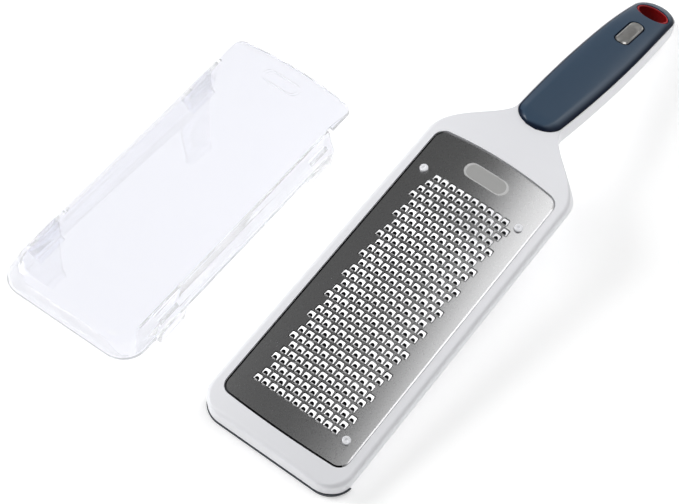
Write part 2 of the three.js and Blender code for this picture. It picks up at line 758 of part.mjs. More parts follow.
// Stands a piece square on the top of the handle, which droops towards its end
function onHandle(geometry, along) {
  const slope = Math.atan2(Math.max(along - HANDLE_DROOP_AT, 0), HANDLE_DROOP_RADIUS);
  return geometry.rotateX(-slope).translate(0, along, -droop(along));
}

function hangHole() {
  const outline = ellipseShape(HOLE_WIDTH + 2 * CLEARANCE, HOLE_LENGTH + 2 * CLEARANCE);
  return solid(onHandle(prism(outline, -BEYOND, BEYOND, ROUND_STEPS), HOLE_AT));
}

function ringGeometry() {
  const outline = ellipseShape(HOLE_WIDTH, HOLE_LENGTH);
  outline.holes.push(ellipseShape(HOLE_WIDTH - 2 * RING_WALL, HOLE_LENGTH - 2 * RING_WALL));
  return onHandle(prism(outline, -RING_BASE, RING_TOP, ROUND_STEPS), HOLE_AT);
}

function badgeGeometry() {
  const outline = pillShape(BADGE_WIDTH, BADGE_LENGTH);
  const badge = prism(outline, BADGE_TOP - BADGE_THICKNESS, BADGE_TOP, ROUND_STEPS / 2);
  return onHandle(badge, BADGE_AT);
}

function bodySolid() {
  const handle = handlePlace().toArray();
  let body = bodyBlank().subtract(plateSeat()).subtract(frameHollow()).subtract(footGroove());
  body = body.subtract(gripRecess().transform(handle)).subtract(hangHole().transform(handle));
  STAKES.forEach((stake) => {
    body = body.subtract(stakeHole(stake));
  });
  return body;
}

// Outline of the cover at a share of its height, drawn in by a wall where its inside is meant
function coverRing(angle, wall) {
  const rise = Math.sin(angle);
  const lean = (COVER_BASE_WIDTH - COVER_TOP_WIDTH) / 2;
  const half = COVER_BASE_WIDTH / 2 - lean * rise - wall;
  const near = -COVER_LENGTH / 2 + COVER_NEAR_SWEEP * (1 - Math.cos(angle)) + wall;
  const shape = panelShape({
    half,
    near,
    far: COVER_LENGTH / 2 - COVER_FAR_BOW - wall,
    nearCorner: COVER_NEAR_CORNER - wall,
    farCorner: COVER_FAR_CORNER - wall,
    farBow: COVER_FAR_BOW,
  });
  const z = COVER_WALL_BASE + (COVER_HEIGHT - COVER_WALL_BASE - wall) * rise;
  return outlinePoints(shape).map((point) => new THREE.Vector3(point.x, point.y, z));
}

function coverStack(wall) {
  const rings = [];
  for (let k = 0; k <= ARC_STEPS; k += 1) rings.push(coverRing(Math.PI / 2 * k / ARC_STEPS, wall));
  return rings;
}

function coverSolid() {
  const inside = coverStack(COVER_WALL);
  const mouth = inside[0].map((point) => point.clone().setZ(-BEYOND));
  const wallsEnd = COVER_LENGTH / 2 - COVER_OVERHANG;
  const low = new THREE.Vector3(-COVER_BASE_WIDTH, wallsEnd, -BEYOND);
  const high = new THREE.Vector3(COVER_BASE_WIDTH, COVER_LENGTH, COVER_HEIGHT - COVER_WALL);
  let cover = loft(coverStack(0)).subtract(loft([mouth, ...inside])).subtract(solid(box(low, high)));
  [wallsEnd, wallsEnd - CLIP_SPACING].forEach((clipEnd) => {
    [-1, 1].forEach((side) => {
      cover = addClip(cover, side, clipEnd);
    });
  });
  return cover;
}

// Section of a clip from the wall's foot down to the table, with a hook inside its lower end
function clipSection(side) {
  const foot = COVER_BASE_WIDTH / 2;
  const tip = foot - CLIP_LEAN;
  const rootLean = (COVER_BASE_WIDTH - COVER_TOP_WIDTH) / 2 * CLIP_ROOT / (COVER_HEIGHT - COVER_WALL_BASE);
  const root = COVER_WALL_BASE + CLIP_ROOT;
  const corners = [
    [foot, COVER_WALL_BASE],
    [foot - rootLean, root],
    [foot - rootLean - COVER_WALL, root],
    [foot - COVER_WALL, COVER_WALL_BASE],
    [tip - COVER_WALL, CLIP_HOOK_HEIGHT],
    [tip - COVER_WALL - CLIP_HOOK, CLIP_HOOK_EDGE],
    [tip - COVER_WALL - CLIP_HOOK, 0],
    [tip, 0],
  ];
  return new THREE.Shape(corners.map(([x, z]) => new THREE.Vector2(side * x, z)));
}

// Side view of a clip, whose near edge sweeps in towards the tip
function clipOutline(clipEnd) {
  const outline = [[clipEnd, 0], [clipEnd, COVER_HEIGHT], [clipEnd - CLIP_LENGTH, COVER_HEIGHT]];
  for (let k = 0; k <= ARC_STEPS; k += 1) {
    const part = k / ARC_STEPS;
    const sweep = THREE.MathUtils.smoothstep(part, 0, 1);
    const length = THREE.MathUtils.lerp(CLIP_LENGTH, CLIP_TIP_LENGTH, sweep);
    outline.push([clipEnd - length, COVER_WALL_BASE * (1 - part)]);
  }
  return new THREE.Shape(outline.map(([y, z]) => new THREE.Vector2(y, z)));
}

// Adds a spring clip to one side, with a slot through the wall above it and a nick in the top edge
function addClip(cover, side, clipEnd) {
  const through = (x0, x1, y0, y1, z0, z1) => {
    const low = new THREE.Vector3(Math.min(side * x0, side * x1), y0, z0);
    return solid(box(low, new THREE.Vector3(Math.max(side * x0, side * x1), y1, z1)));
  };
  const bar = prism(clipSection(side), -clipEnd - BEYOND, -clipEnd + BEYOND).rotateX(Math.PI / 2);
  const reach = COVER_BASE_WIDTH;
  const view = prism(clipOutline(clipEnd), -reach, reach).rotateX(Math.PI / 2).rotateZ(Math.PI / 2);
  const middle = clipEnd - CLIP_LENGTH / 2;
  const slotEnds = [middle - CLIP_SLOT_LENGTH / 2, middle + CLIP_SLOT_LENGTH / 2];
  const slotBase = COVER_WALL_BASE + CLIP_SLOT_RISE;
  const slot = through(reach / 4, reach, ...slotEnds, slotBase, slotBase + CLIP_SLOT_HEIGHT);
  const notchInner = COVER_TOP_WIDTH / 2 - NOTCH_DEPTH;
  const notchBase = COVER_HEIGHT - NOTCH_HEIGHT;
  const notch = through(notchInner, reach, clipEnd, clipEnd + NOTCH_LENGTH, notchBase, BEYOND);
  return cover.add(solid(bar).intersect(solid(view))).subtract(slot).subtract(notch);
}

const FINISHES = {
  white: { color: 0xf1f2f4, roughness: 0.35, metalness: 0 },
  steel: { color: 0xb4b6b8, roughness: 0.32, metalness: 1 },
  navy: { color: 0x3d4a5b, roughness: 0.55, metalness: 0 },
  badge: { color: 0x9a9893, roughness: 0.38, metalness: 1 },
  red: { color: 0xa11c1f, roughness: 0.4, metalness: 0 },
  clear: { color: 0xe6e6f2, roughness: 0.08, metalness: 0, transparent: true, opacity: 0.35 },
};

function mesh(name, geometry, finish) {
  const piece = new THREE.Mesh(geometry, new THREE.MeshStandardMaterial(FINISHES[finish]));
  piece.name = name;
  return piece;
}

function handleGroup() {
  const group = new THREE.Group();
  group.applyMatrix4(handlePlace());
  group.add(mesh('soft_grip', geometryOf(gripSolid()), 'navy'));
  group.add(mesh('handle_badge', badgeGeometry(), 'badge'));
  group.add(mesh('hang_ring', ringGeometry(), 'red'));
  return group;
}

function stakeMesh(stake) {
  const piece = mesh(stake.name, stakeGeometry(), 'white');
  piece.applyMatrix4(stakePlace(stake));
  return piece;
}

// Angle that brings the lowest point of the handle down to the table that the nose foot stands on
function leanAngle(geometry) {
  const points = geometry.attributes.position;
  let lean = 0;
  for (let k = 0; k < points.count; k += 1) {
    if (points.getY(k) < PLATE_FAR) continue;
    lean = Math.max(lean, Math.atan2(FOOT_BASE - points.getZ(k), points.getY(k) - FOOT_NOSE));
  }
  return lean;
}

function graterGroup() {
  const body = geometryOf(bodySolid());
  const blade = new THREE.Group();
  blade.add(mesh('body_frame', body, 'white'));
  blade.add(mesh('grater_plate', geometryOf(plateSolid()), 'steel'));
  blade.add(mesh('nose_foot', geometryOf(footSolid()), 'navy'));
  STAKES.forEach((stake) => blade.add(stakeMesh(stake)));
  blade.add(handleGroup());
  blade.position.set(0, -FOOT_NOSE, -FOOT_BASE);
  const grater = new THREE.Group();
  grater.rotation.x = leanAngle(body);
  grater.add(blade);
  return grater;
}

function coverGroup() {
  const cover = new THREE.Group();
  cover.add(mesh('clear_cover', geometryOf(coverSolid()), 'clear'));
  const reach = COVER_BASE_WIDTH / 2;
  cover.position.set(-FRAME_HALF - COVER_SIDE_GAP - reach, COVER_LENGTH / 2 - COVER_PAST_NOSE, 0);
  cover.rotation.z = COVER_TURN;
  return cover;
}

// The grater and its cover together, centred over the origin and standing on Z = 0
function graterSet() {
  const set = new THREE.Group();
  set.add(graterGroup(), coverGroup());
  set.updateMatrixWorld(true);
  const bounds = new THREE.Box3().setFromObject(set, true);
  const middle = bounds.getCenter(new THREE.Vector3());
  set.position.set(-middle.x, -middle.y, -bounds.min.z);
  return set;
}

export default graterSet();
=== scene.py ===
"""Looks of a hand-held fine grater and of the clear cover that has been taken off it.

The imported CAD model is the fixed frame. Each sub-assembly is drawn in millimetres in a frame of its own,
shaped with Blender's modelling tools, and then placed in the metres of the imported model.
"""

import logging
import math
from collections.abc import Sequence
from dataclasses import dataclass, field
from enum import Enum

import bmesh
import bpy
from mathutils import Matrix, Quaternion, Vector


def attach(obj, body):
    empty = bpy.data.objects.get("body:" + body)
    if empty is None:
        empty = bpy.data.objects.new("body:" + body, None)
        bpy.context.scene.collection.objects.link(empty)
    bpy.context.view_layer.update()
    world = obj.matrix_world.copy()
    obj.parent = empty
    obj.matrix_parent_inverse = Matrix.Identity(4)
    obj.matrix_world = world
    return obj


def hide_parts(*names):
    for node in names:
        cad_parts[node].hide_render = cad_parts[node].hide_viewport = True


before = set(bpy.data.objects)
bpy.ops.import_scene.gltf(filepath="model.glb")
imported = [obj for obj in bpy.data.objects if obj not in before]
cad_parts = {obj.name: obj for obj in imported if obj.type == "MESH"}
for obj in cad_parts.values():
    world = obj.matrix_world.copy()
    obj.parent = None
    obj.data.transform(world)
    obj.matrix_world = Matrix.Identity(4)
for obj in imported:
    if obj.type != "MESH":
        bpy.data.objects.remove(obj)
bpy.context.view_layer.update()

LOG = logging.getLogger("grater")

# The drawings are in millimetres.
MM = 0.001  # one of them in metres
BEYOND = 30.0  # how far a cutting tool reaches past what it cuts
OVERLAP = 1.0  # how far one tool reaches past another
CLEARANCE = 0.3  # gap round a piece that is let into another
TOUCH = 0.01  # distance within which two places are one
LEVEL = 0.9999  # least upright share of the normal of a level face
Outline = list[Vector]


class Body(Enum):
    """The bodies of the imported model."""

    GRATER = "grater"
    COVER = "cover"


class Cut(Enum):
    """How one solid acts on another."""

    AWAY = "DIFFERENCE"
    JOIN = "UNION"
    COMMON = "INTERSECT"


def mix(start: float, end: float, share: float) -> float:
    """Value at a share of the way from start to end."""
    return start + (end - start) * share


def steps(start: float, end: float, count: int) -> list[float]:
    """Evenly spaced values from start to end, both of them among these.

    Args:
        start: First value.
        end: Last value.
        count: How many stretches lie between them.

    Returns:
        The values, one more than the stretches.
    """
    return [mix(start, end, k / count) for k in range(count + 1)]


def arc(centre: tuple[float, float], radius: float, start: float, end: float, count: int) -> Outline:
    """Points along an arc.

    Args:
        centre: Centre of the arc.
        radius: Its radius.
        start: Angle of its first point, in degrees.
        end: Angle of its last point, in degrees.
        count: How many stretches it has.

    Returns:
        The points, in the plane.
    """
    angles = [math.radians(angle) for angle in steps(start, end, count)]
    return [Vector((centre[0] + radius * math.cos(a), centre[1] + radius * math.sin(a))) for a in angles]


@dataclass(frozen=True)
class Panel:
    """Rectangle with rounded corners and a far end that may bow outward, drawn anticlockwise."""

    half: float
    near: float
    far: float
    near_corner: float
    far_corner: float
    far_bow: float = 0.0
    arc_steps: int = 12
    bow_steps: int = 16

    def far_edge(self, x: float) -> float:
        """Place of the bowed far edge at a place across the panel."""
        share = x / (self.half - self.far_corner)
        return self.far + self.far_bow * (1 - share * share)

    def outline(self) -> Outline:
        """Points round the panel, from its near right corner.

        Returns:
            The points, anticlockwise.
        """
        right, left = self.half - self.near_corner, self.near_corner - self.half
        far_right = self.half - self.far_corner
        near, far = self.near + self.near_corner, self.far - self.far_corner
        points = arc((right, near), self.near_corner, -90, 0, self.arc_steps)
        points += arc((far_right, far), self.far_corner, 0, 90, self.arc_steps)
        across = steps(far_right, -far_right, self.bow_steps)[1:-1]
        points += [Vector((x, self.far_edge(x))) for x in across]
        points += arc((-far_right, far), self.far_corner, 90, 180, self.arc_steps)
        points += arc((left, near), self.near_corner, 180, 270, self.arc_steps)
        return points


def ellipse(width: float, length: float, count: int = 64) -> Outline:
    """Points round an ellipse about the origin."""
    angles = steps(0.0, math.tau, count)[:-1]
    return [Vector((math.cos(a) * width / 2, math.sin(a) * length / 2)) for a in angles]


def pill(width: float, height: float, count: int = 12) -> Outline:
    """Points round a pill that lies across, about the origin, with its straight edges divided.

    Args:
        width: Width of the pill.
        height: Its height, which is the width of its round ends.
        count: How many stretches each round end and each straight edge has.

    Returns:
        The points, anticlockwise.
    """
    radius = height / 2
    reach = width / 2 - radius
    right = arc((reach, 0.0), radius, -90, 90, count)
    upper = [Vector((x, radius)) for x in steps(reach, -reach, count)[1:-1]]
    half = right + upper
    return half + [-point for point in half]


def level(outline: Outline, z: float) -> list[Vector]:
    """An outline of the plane, set at a height."""
    return [Vector((point.x, point.y, z)) for point in outline]


class Workbench:
    """Blender's own modelling tools, used on one object at a time."""

    WALL_CORNERS: int = 4
    FLAT_ANGLE: float = 0.05

    @staticmethod
    def clear() -> None:
        """Leave edit mode and select nothing."""
        if bpy.context.object and bpy.context.object.mode != "OBJECT":
            bpy.ops.object.mode_set(mode="OBJECT")
        bpy.ops.object.select_all(action="DESELECT")

    @classmethod
    def pick(cls, piece: bpy.types.Object) -> None:
        """Make one object the only selected one, and the active one.

        Args:
            piece: Object that is picked.
        """
        cls.clear()
        piece.select_set(True)
        bpy.context.view_layer.objects.active = piece

    @classmethod
    def loft(cls, name: str, rings: Sequence[Sequence[Vector]]) -> bpy.types.Object:
        """Draw a closed solid through rings that all have as many points.

        Args:
            name: Name of the new object.
            rings: Rings of points, in order along the solid.

        Returns:
            The new object.
        """
        cls.clear()
        bpy.ops.mesh.primitive_circle_add(vertices=len(rings[0]), fill_type="NGON")
        piece = bpy.context.object
        piece.name = name
        bpy.ops.object.mode_set(mode="EDIT")
        row = range(len(rings[0]))
        for number, ring in enumerate(rings):
            if number:
                bpy.ops.mesh.extrude_region()
            mesh = bmesh.from_edit_mesh(piece.data)
            mesh.verts.ensure_lookup_table()
            here = [mesh.verts[k] for k in row]
            if number:
                mesh.verts.index_update()
                here = [cls._raised(vert) for vert in here]
            for vert, point in zip(here, ring):
                vert.co = point
            row = [vert.index for vert in here]
            bmesh.update_edit_mesh(piece.data)
        bpy.ops.mesh.select_all(action="SELECT")
        bpy.ops.mesh.normals_make_consistent(inside=False)
        bpy.ops.object.mode_set(mode="OBJECT")
        return piece

    @staticmethod
    def _raised(vert: bmesh.types.BMVert) -> bmesh.types.BMVert:
        """The point that an extrusion has just drawn out of another."""
        return next(e.other_vert(vert) for e in vert.link_edges if e.other_vert(vert).select)

    @classmethod
    def prism(cls, name: str, outline: Outline, low: float, high: float) -> bpy.types.Object:
        """Draw a closed solid that stands over an outline, from one height to another."""
        return cls.loft(name, [level(outline, low), level(outline, high)])

    @classmethod
    def block(cls, name: str, low: Vector, high: Vector) -> bpy.types.Object:
        """Draw a block between two corners."""
        corners = [(low.x, low.y), (high.x, low.y), (high.x, high.y), (low.x, high.y)]
        return cls.prism(name, [Vector(corner) for corner in corners], low.z, high.z)

    @classmethod
    def cut(cls, piece: bpy.types.Object, tool: bpy.types.Object, how: Cut = Cut.AWAY) -> bpy.types.Object:
        """Cut, join or intersect a piece with a tool, which is used up.

        Args:
            piece: Object that is changed.
            tool: Object that acts on it.
            how: What the tool does.

        Returns:
            The changed object.
        """
        cls.pick(piece)
        bpy.ops.object.modifier_add(type="BOOLEAN")
        modifier = piece.modifiers[-1]
        modifier.object = tool
        modifier.operation = how.value
        modifier.solver = "EXACT"
        bpy.ops.object.modifier_apply(modifier=modifier.name)
        bpy.data.objects.remove(tool)
        return piece

    @classmethod
    def tube(cls, name: str, rings: Sequence[Sequence[Vector]]) -> bpy.types.Object:
        """Bend a loft round into a tube, by joining its last ring to its first.

        Args:
            name: Name of the new object.
            rings: Rings of points, in order round the tube's wall.

        Returns:
            The new object.
        """
        piece = cls.loft(name, rings)
        cls.pick(piece)
        bpy.ops.object.mode_set(mode="EDIT")
        mesh = bmesh.from_edit_mesh(piece.data)
        for face in mesh.faces:
            face.select_set(len(face.verts) > cls.WALL_CORNERS)
        bmesh.update_edit_mesh(piece.data)
        bpy.ops.mesh.delete(type="ONLY_FACE")
        mesh = bmesh.from_edit_mesh(piece.data)
        for edge in mesh.edges:
            edge.select_set(edge.is_boundary)
        bmesh.update_edit_mesh(piece.data)
        bpy.ops.mesh.bridge_edge_loops()
        bpy.ops.mesh.select_all(action="SELECT")
        bpy.ops.mesh.normals_make_consistent(inside=False)
        bpy.ops.object.mode_set(mode="OBJECT")
        return piece

    @classmethod
    def tidy(cls, piece: bpy.types.Object, distance: float = TOUCH) -> None:
        """Merge points that lie together and drop edges between faces of one plane.

        Args:
            piece: Object that is tidied.
            distance: How near such points lie.
        """
        cls.pick(piece)
        bpy.ops.object.mode_set(mode="EDIT")
        bpy.ops.mesh.select_all(action="SELECT")
        bpy.ops.mesh.remove_doubles(threshold=distance)
        bpy.ops.mesh.dissolve_limited(angle_limit=math.radians(cls.FLAT_ANGLE))
        bpy.ops.mesh.normals_make_consistent(inside=False)
        bpy.ops.object.mode_set(mode="OBJECT")

    @classmethod
    def soften(cls, piece: bpy.types.Object, width: float, segments: int = 2, angle: float = 40.0) -> None:
        """Round the sharp edges of a piece.

        Args:
            piece: Object whose edges are rounded.
            width: Width of the rounding.
            segments: How many faces lie across it.
            angle: Edges sharper than this angle, in degrees, are rounded.
        """
        cls.pick(piece)
        bpy.ops.object.modifier_add(type="BEVEL")
        modifier = piece.modifiers[-1]
        modifier.width = width
        modifier.segments = segments
        modifier.limit_method = "ANGLE"
        modifier.angle_limit = math.radians(angle)
        modifier.miter_outer = "MITER_ARC"
        bpy.ops.object.modifier_apply(modifier=modifier.name)

    @classmethod
    def smooth(cls, piece: bpy.types.Object, angle: float = 35.0, flat_level: bool = False) -> None:
        """Shade a piece smooth, apart from its sharp edges.

        Args:
            piece: Object that is shaded.
            angle: Edges sharper than this angle, in degrees, stay sharp.
            flat_level: Whether faces that lie level are shaded flat.
        """
        cls.pick(piece)
        bpy.ops.object.shade_smooth_by_angle(angle=math.radians(angle))
        for face in piece.data.polygons:
            if flat_level and abs(face.normal.z) > LEVEL:
                face.use_smooth = False
        bpy.ops.object.modifier_add(type="WEIGHTED_NORMAL")
        modifier = piece.modifiers[-1]
        modifier.keep_sharp = True
        bpy.ops.object.modifier_apply(modifier=modifier.name)

    @staticmethod
    def place(piece: bpy.types.Object, matrix: Matrix) -> bpy.types.Object:
        """Move a piece's mesh, and leave its object at the origin.

        Args:
            piece: Object at the origin.
            matrix: How its mesh moves.

        Returns:
            The same object.
        """
        piece.data.transform(matrix)
        piece.data.update()
        return piece

    @staticmethod
    def copy(piece: bpy.types.Object, name: str) -> bpy.types.Object:
        """Copy a piece, with a mesh of its own.

        Args:
            piece: Object that is copied.
            name: Name of the copy.

        Returns:
            The copy.
        """
        twin = bpy.data.objects.new(name, piece.data.copy())
        bpy.context.scene.collection.objects.link(twin)
        return twin


@dataclass(frozen=True)
class Stance:
    """Where the grater leans and where its cover stands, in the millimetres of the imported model."""

    blade: Vector = field(default_factory=lambda: Vector((53.256845, -67.404963, 25.051726)))
    lean: float = 8.079738
    cover: Vector = field(default_factory=lambda: Vector((-53.343155, -80.474027, 0.0)))
    cover_turn: float = 0.8

    def of_blade(self) -> Matrix:
        """Matrix that takes the blade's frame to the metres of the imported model."""
        turn = Matrix.Rotation(math.radians(self.lean), 4, "X")
        return Matrix.Scale(MM, 4) @ Matrix.Translation(self.blade) @ turn

    def of_cover(self) -> Matrix:
        """Matrix that takes the cover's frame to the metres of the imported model."""
        turn = Matrix.Rotation(math.radians(self.cover_turn), 4, "Z")
        return Matrix.Scale(MM, 4) @ Matrix.Translation(self.cover) @ turn


@dataclass(frozen=True)
class Grain:
    """Fine unevenness of a surface, as noise that is stretched along the way it was worked."""

    scale: float
    stretch: tuple[float, float, float] = (1.0, 1.0, 1.0)
    tint: float = 0.03
    roughness: float = 0.05
    bump: float = 0.05
    depth: float = 0.00003
    detail: float = 2.0
    low: float = 0.3
    high: float = 0.7


@dataclass(frozen=True)
class Finish:
    """One surface finish: the settings of its shader and the grain that breaks it up."""

    name: str
    color: tuple[float, float, float]
    roughness: float
    grain: Grain
    metallic: float = 0.0
    ior: float = 1.5
    transmission: float = 0.0
    alpha: float = 1.0

    def material(self) -> bpy.types.Material:
        """Build the material with its nodes.

        Returns:
            The new material.
        """
        material = bpy.data.materials.new(self.name)
        material.use_nodes = True
        tree = material.node_tree
        shader = tree.nodes["Principled BSDF"]
        settings = {"Metallic": self.metallic, "IOR": self.ior, "Transmission Weight": self.transmission}
        settings["Alpha"] = self.alpha
        for socket, value in settings.items():
            shader.inputs[socket].default_value = value
        noise = self._noise(tree)
        tree.links.new(self._tint(tree, noise), shader.inputs["Base Color"])
        span = (self.roughness - self.grain.roughness, self.roughness + self.grain.roughness)
        tree.links.new(self._spread(tree, noise, *span), shader.inputs["Roughness"])
        tree.links.new(self._bump(tree, noise), shader.inputs["Normal"])
        return material

    def _noise(self, tree: bpy.types.NodeTree) -> bpy.types.NodeSocket:
        """Noise on the piece's own place, stretched as the grain says.

        Args:
            tree: Nodes of the material.

        Returns:
            The noise, about one half.
        """
        place = tree.nodes.new("ShaderNodeTexCoord")
        stretch = tree.nodes.new("ShaderNodeMapping")
        stretch.inputs["Scale"].default_value = self.grain.stretch
        noise = tree.nodes.new("ShaderNodeTexNoise")
        noise.inputs["Scale"].default_value = self.grain.scale
        noise.inputs["Detail"].default_value = self.grain.detail
        tree.links.new(place.outputs["Object"], stretch.inputs["Vector"])
        tree.links.new(stretch.outputs["Vector"], noise.inputs["Vector"])
        return noise.outputs["Fac"]

    def _spread(
        self, tree: bpy.types.NodeTree, source: bpy.types.NodeSocket, low: float, high: float
    ) -> bpy.types.NodeSocket:
        """Noise mapped to run from one value to another.

        Args:
            tree: Nodes of the material.
            source: The noise.
            low: Value at its low end.
            high: Value at its high end.

        Returns:
            The mapped value.
        """
        spread = tree.nodes.new("ShaderNodeMapRange")
        spread.inputs["From Min"].default_value = self.grain.low
        spread.inputs["From Max"].default_value = self.grain.high
        spread.inputs["To Min"].default_value = low
        spread.inputs["To Max"].default_value = high
        tree.links.new(source, spread.inputs["Value"])
        return spread.outputs["Result"]

    def _tint(self, tree: bpy.types.NodeTree, source: bpy.types.NodeSocket) -> bpy.types.NodeSocket:
        """Colour that wanders a little darker and lighter with the noise.

        Args:
            tree: Nodes of the material.
            source: The noise.

        Returns:
            The colour.
        """
        blend = tree.nodes.new("ShaderNodeMix")
        blend.data_type = "RGBA"
        blend.inputs["A"].default_value = self._shade(1.0 - self.grain.tint)
        blend.inputs["B"].default_value = self._shade(1.0 + self.grain.tint)
        tree.links.new(source, blend.inputs["Factor"])
        return blend.outputs["Result"]

    def _shade(self, share: float) -> tuple[float, float, float, float]:
        """The finish's colour, darker or lighter, with full opacity."""
        red, green, blue = (min(channel * share, 1.0) for channel in self.color)
        return red, green, blue, 1.0

    def _bump(self, tree: bpy.types.NodeTree, source: bpy.types.NodeSocket) -> bpy.types.NodeSocket:
        """Normal that follows the noise.

        Args:
            tree: Nodes of the material.
            source: The noise.

        Returns:
            The normal.
        """
        bump = tree.nodes.new("ShaderNodeBump")
        bump.inputs["Strength"].default_value = self.grain.bump
        bump.inputs["Distance"].default_value = self.grain.depth
        tree.links.new(source, bump.inputs["Height"])
        return bump.outputs["Normal"]


@dataclass(frozen=True)
class PaintedLightFinish(Finish):
    """A finish that turns to a second colour where an attribute of the mesh is high, to paint shade or a
    highlight.
    """

    mark: str = "mark"
    mark_color: tuple[float, float, float] = (0.01, 0.01, 0.01)
    mark_from: float = 0.5
    mark_to: float = 0.6
    plain_specular: float = 0.5
    mark_specular: float = 0.5

    def material(self) -> bpy.types.Material:
        """Build the material, with its colour mixed towards the painted shade's or highlight's.

        Returns:
            The new material.
        """
        material = super().material()
        tree = material.node_tree
        shader = tree.nodes["Principled BSDF"]
        color = shader.inputs["Base Color"]
        plain = color.links[0].from_socket
        place = tree.nodes.new("ShaderNodeAttribute")
        place.attribute_name = self.mark
        ramp = tree.nodes.new("ShaderNodeMapRange")
        ramp.interpolation_type = "SMOOTHSTEP"
        ramp.inputs["From Min"].default_value = self.mark_from
        ramp.inputs["From Max"].default_value = self.mark_to
        blend = tree.nodes.new("ShaderNodeMix")
        blend.data_type = "RGBA"
        blend.inputs["B"].default_value = (*self.mark_color, 1.0)
        tree.links.new(place.outputs["Fac"], ramp.inputs["Value"])
        tree.links.new(ramp.outputs["Result"], blend.inputs["Factor"])
        tree.links.new(plain, blend.inputs["A"])
        tree.links.new(blend.outputs["Result"], color)
        # Painted shade may also dull the gloss.
        if self.mark_specular != self.plain_specular:
            gloss = tree.nodes.new("ShaderNodeMapRange")
            gloss.inputs["To Min"].default_value = self.plain_specular
            gloss.inputs["To Max"].default_value = self.mark_specular
            tree.links.new(ramp.outputs["Result"], gloss.inputs["Value"])
            tree.links.new(gloss.outputs["Result"], shader.inputs["Specular IOR Level"])
        return material


WHITE_PLASTIC = Finish(
    "white_plastic",
    (0.82, 0.825, 0.855),
    0.3,
    Grain(300.0, tint=0.002, roughness=0.01, bump=0.002, depth=0.00002),
)
# Plate steel. Its attribute paints near-black shade on the raised tongues towards their tips, and along the
# rolled edge's left and near sides.
PLATE_STEEL = PaintedLightFinish(
    "plate_steel",
    (0.46, 0.46, 0.465),
    0.28,
    Grain(3000.0, stretch=(1.0, 0.25, 1.0), tint=0.02, roughness=0.01, bump=0.01),
    metallic=1.0,
    mark="painted_tip_and_edge_shade",
    mark_color=(0.008, 0.008, 0.009),
    mark_from=0.26,
    mark_to=0.34,
)
ETCHED_STEEL = Finish(
    "etched_steel", (0.4, 0.4, 0.395), 0.6, Grain(2500.0, tint=0.06, roughness=0.08, bump=0.1), metallic=0.4
)
LINE_STEEL = Finish(
    "line_steel", (0.6, 0.6, 0.6), 0.5, Grain(2500.0, tint=0.04, roughness=0.05, bump=0.05), metallic=0.4
)
# Soft navy of the grip. Its attribute paints shade along the outline and in the badge's seat: darker colour
# and duller gloss.
NAVY_SOFT = PaintedLightFinish(
    "navy_soft",
    (0.033, 0.061, 0.101),
    0.37,
    Grain(1600.0, tint=0.06, roughness=0.05, bump=0.1),
    ior=1.4,
    mark="edge_shade",
    mark_color=(0.008, 0.014, 0.03),
    mark_from=0.15,
    mark_to=0.9,
    mark_specular=0.08,
)
# The grip's soft navy, darkened as painted shade, for the foot that sits low by the floor.
NAVY_SOFT_PAINTED_SHADE = Finish("navy_soft_painted_shade", (0.012, 0.018, 0.03), 0.5, Grain(1600.0, tint=0.06, bump=0.1))
BADGE_STEEL = Finish(
    "badge_steel",
    (0.45, 0.445, 0.43),
    0.34,
    Grain(450.0, stretch=(1.0, 0.5, 1.0), tint=0.25, roughness=0.06, bump=0.05),
    metallic=1.0,
)
# Red of the hang hole's liner. Its attribute paints a lighter red highlight on the top of the lip.
RED_PLASTIC = PaintedLightFinish(
    "red_plastic",
    (0.15, 0.0015, 0.002),
    0.5,
    Grain(1200.0, tint=0.05, bump=0.05),
    ior=1.2,
    mark="lip_light",
    mark_color=(0.4, 0.03, 0.035),
)
CLEAR_PLASTIC = Finish(
    "clear_plastic",
    (0.79, 0.8, 0.875),
    0.05,
    Grain(300.0, tint=0.003, roughness=0.01, bump=0.004),
    ior=1.5,
    transmission=1.0,
    alpha=0.7,
)


class Dresser:
    """Gives finished pieces their material and their body, and hides the CAD nodes that they stand for."""

    def __init__(self) -> None:
        """Start with no material made."""
        self._made: dict[str, bpy.types.Material] = {}

    def dress(self, piece: bpy.types.Object, finish: Finish, body: Body, slot: str, *nodes: str) -> None:
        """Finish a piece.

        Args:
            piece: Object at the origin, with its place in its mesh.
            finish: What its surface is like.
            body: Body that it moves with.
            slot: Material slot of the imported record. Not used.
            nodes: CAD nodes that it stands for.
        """
        if finish.name not in self._made:
            self._made[finish.name] = finish.material()
        piece.data.materials.clear()
        piece.data.materials.append(self._made[finish.name])
        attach(piece, body.value)
        if nodes:
            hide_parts(*nodes)
        LOG.info("%s: %d faces on %s", piece.name, len(piece.data.polygons), body.value)


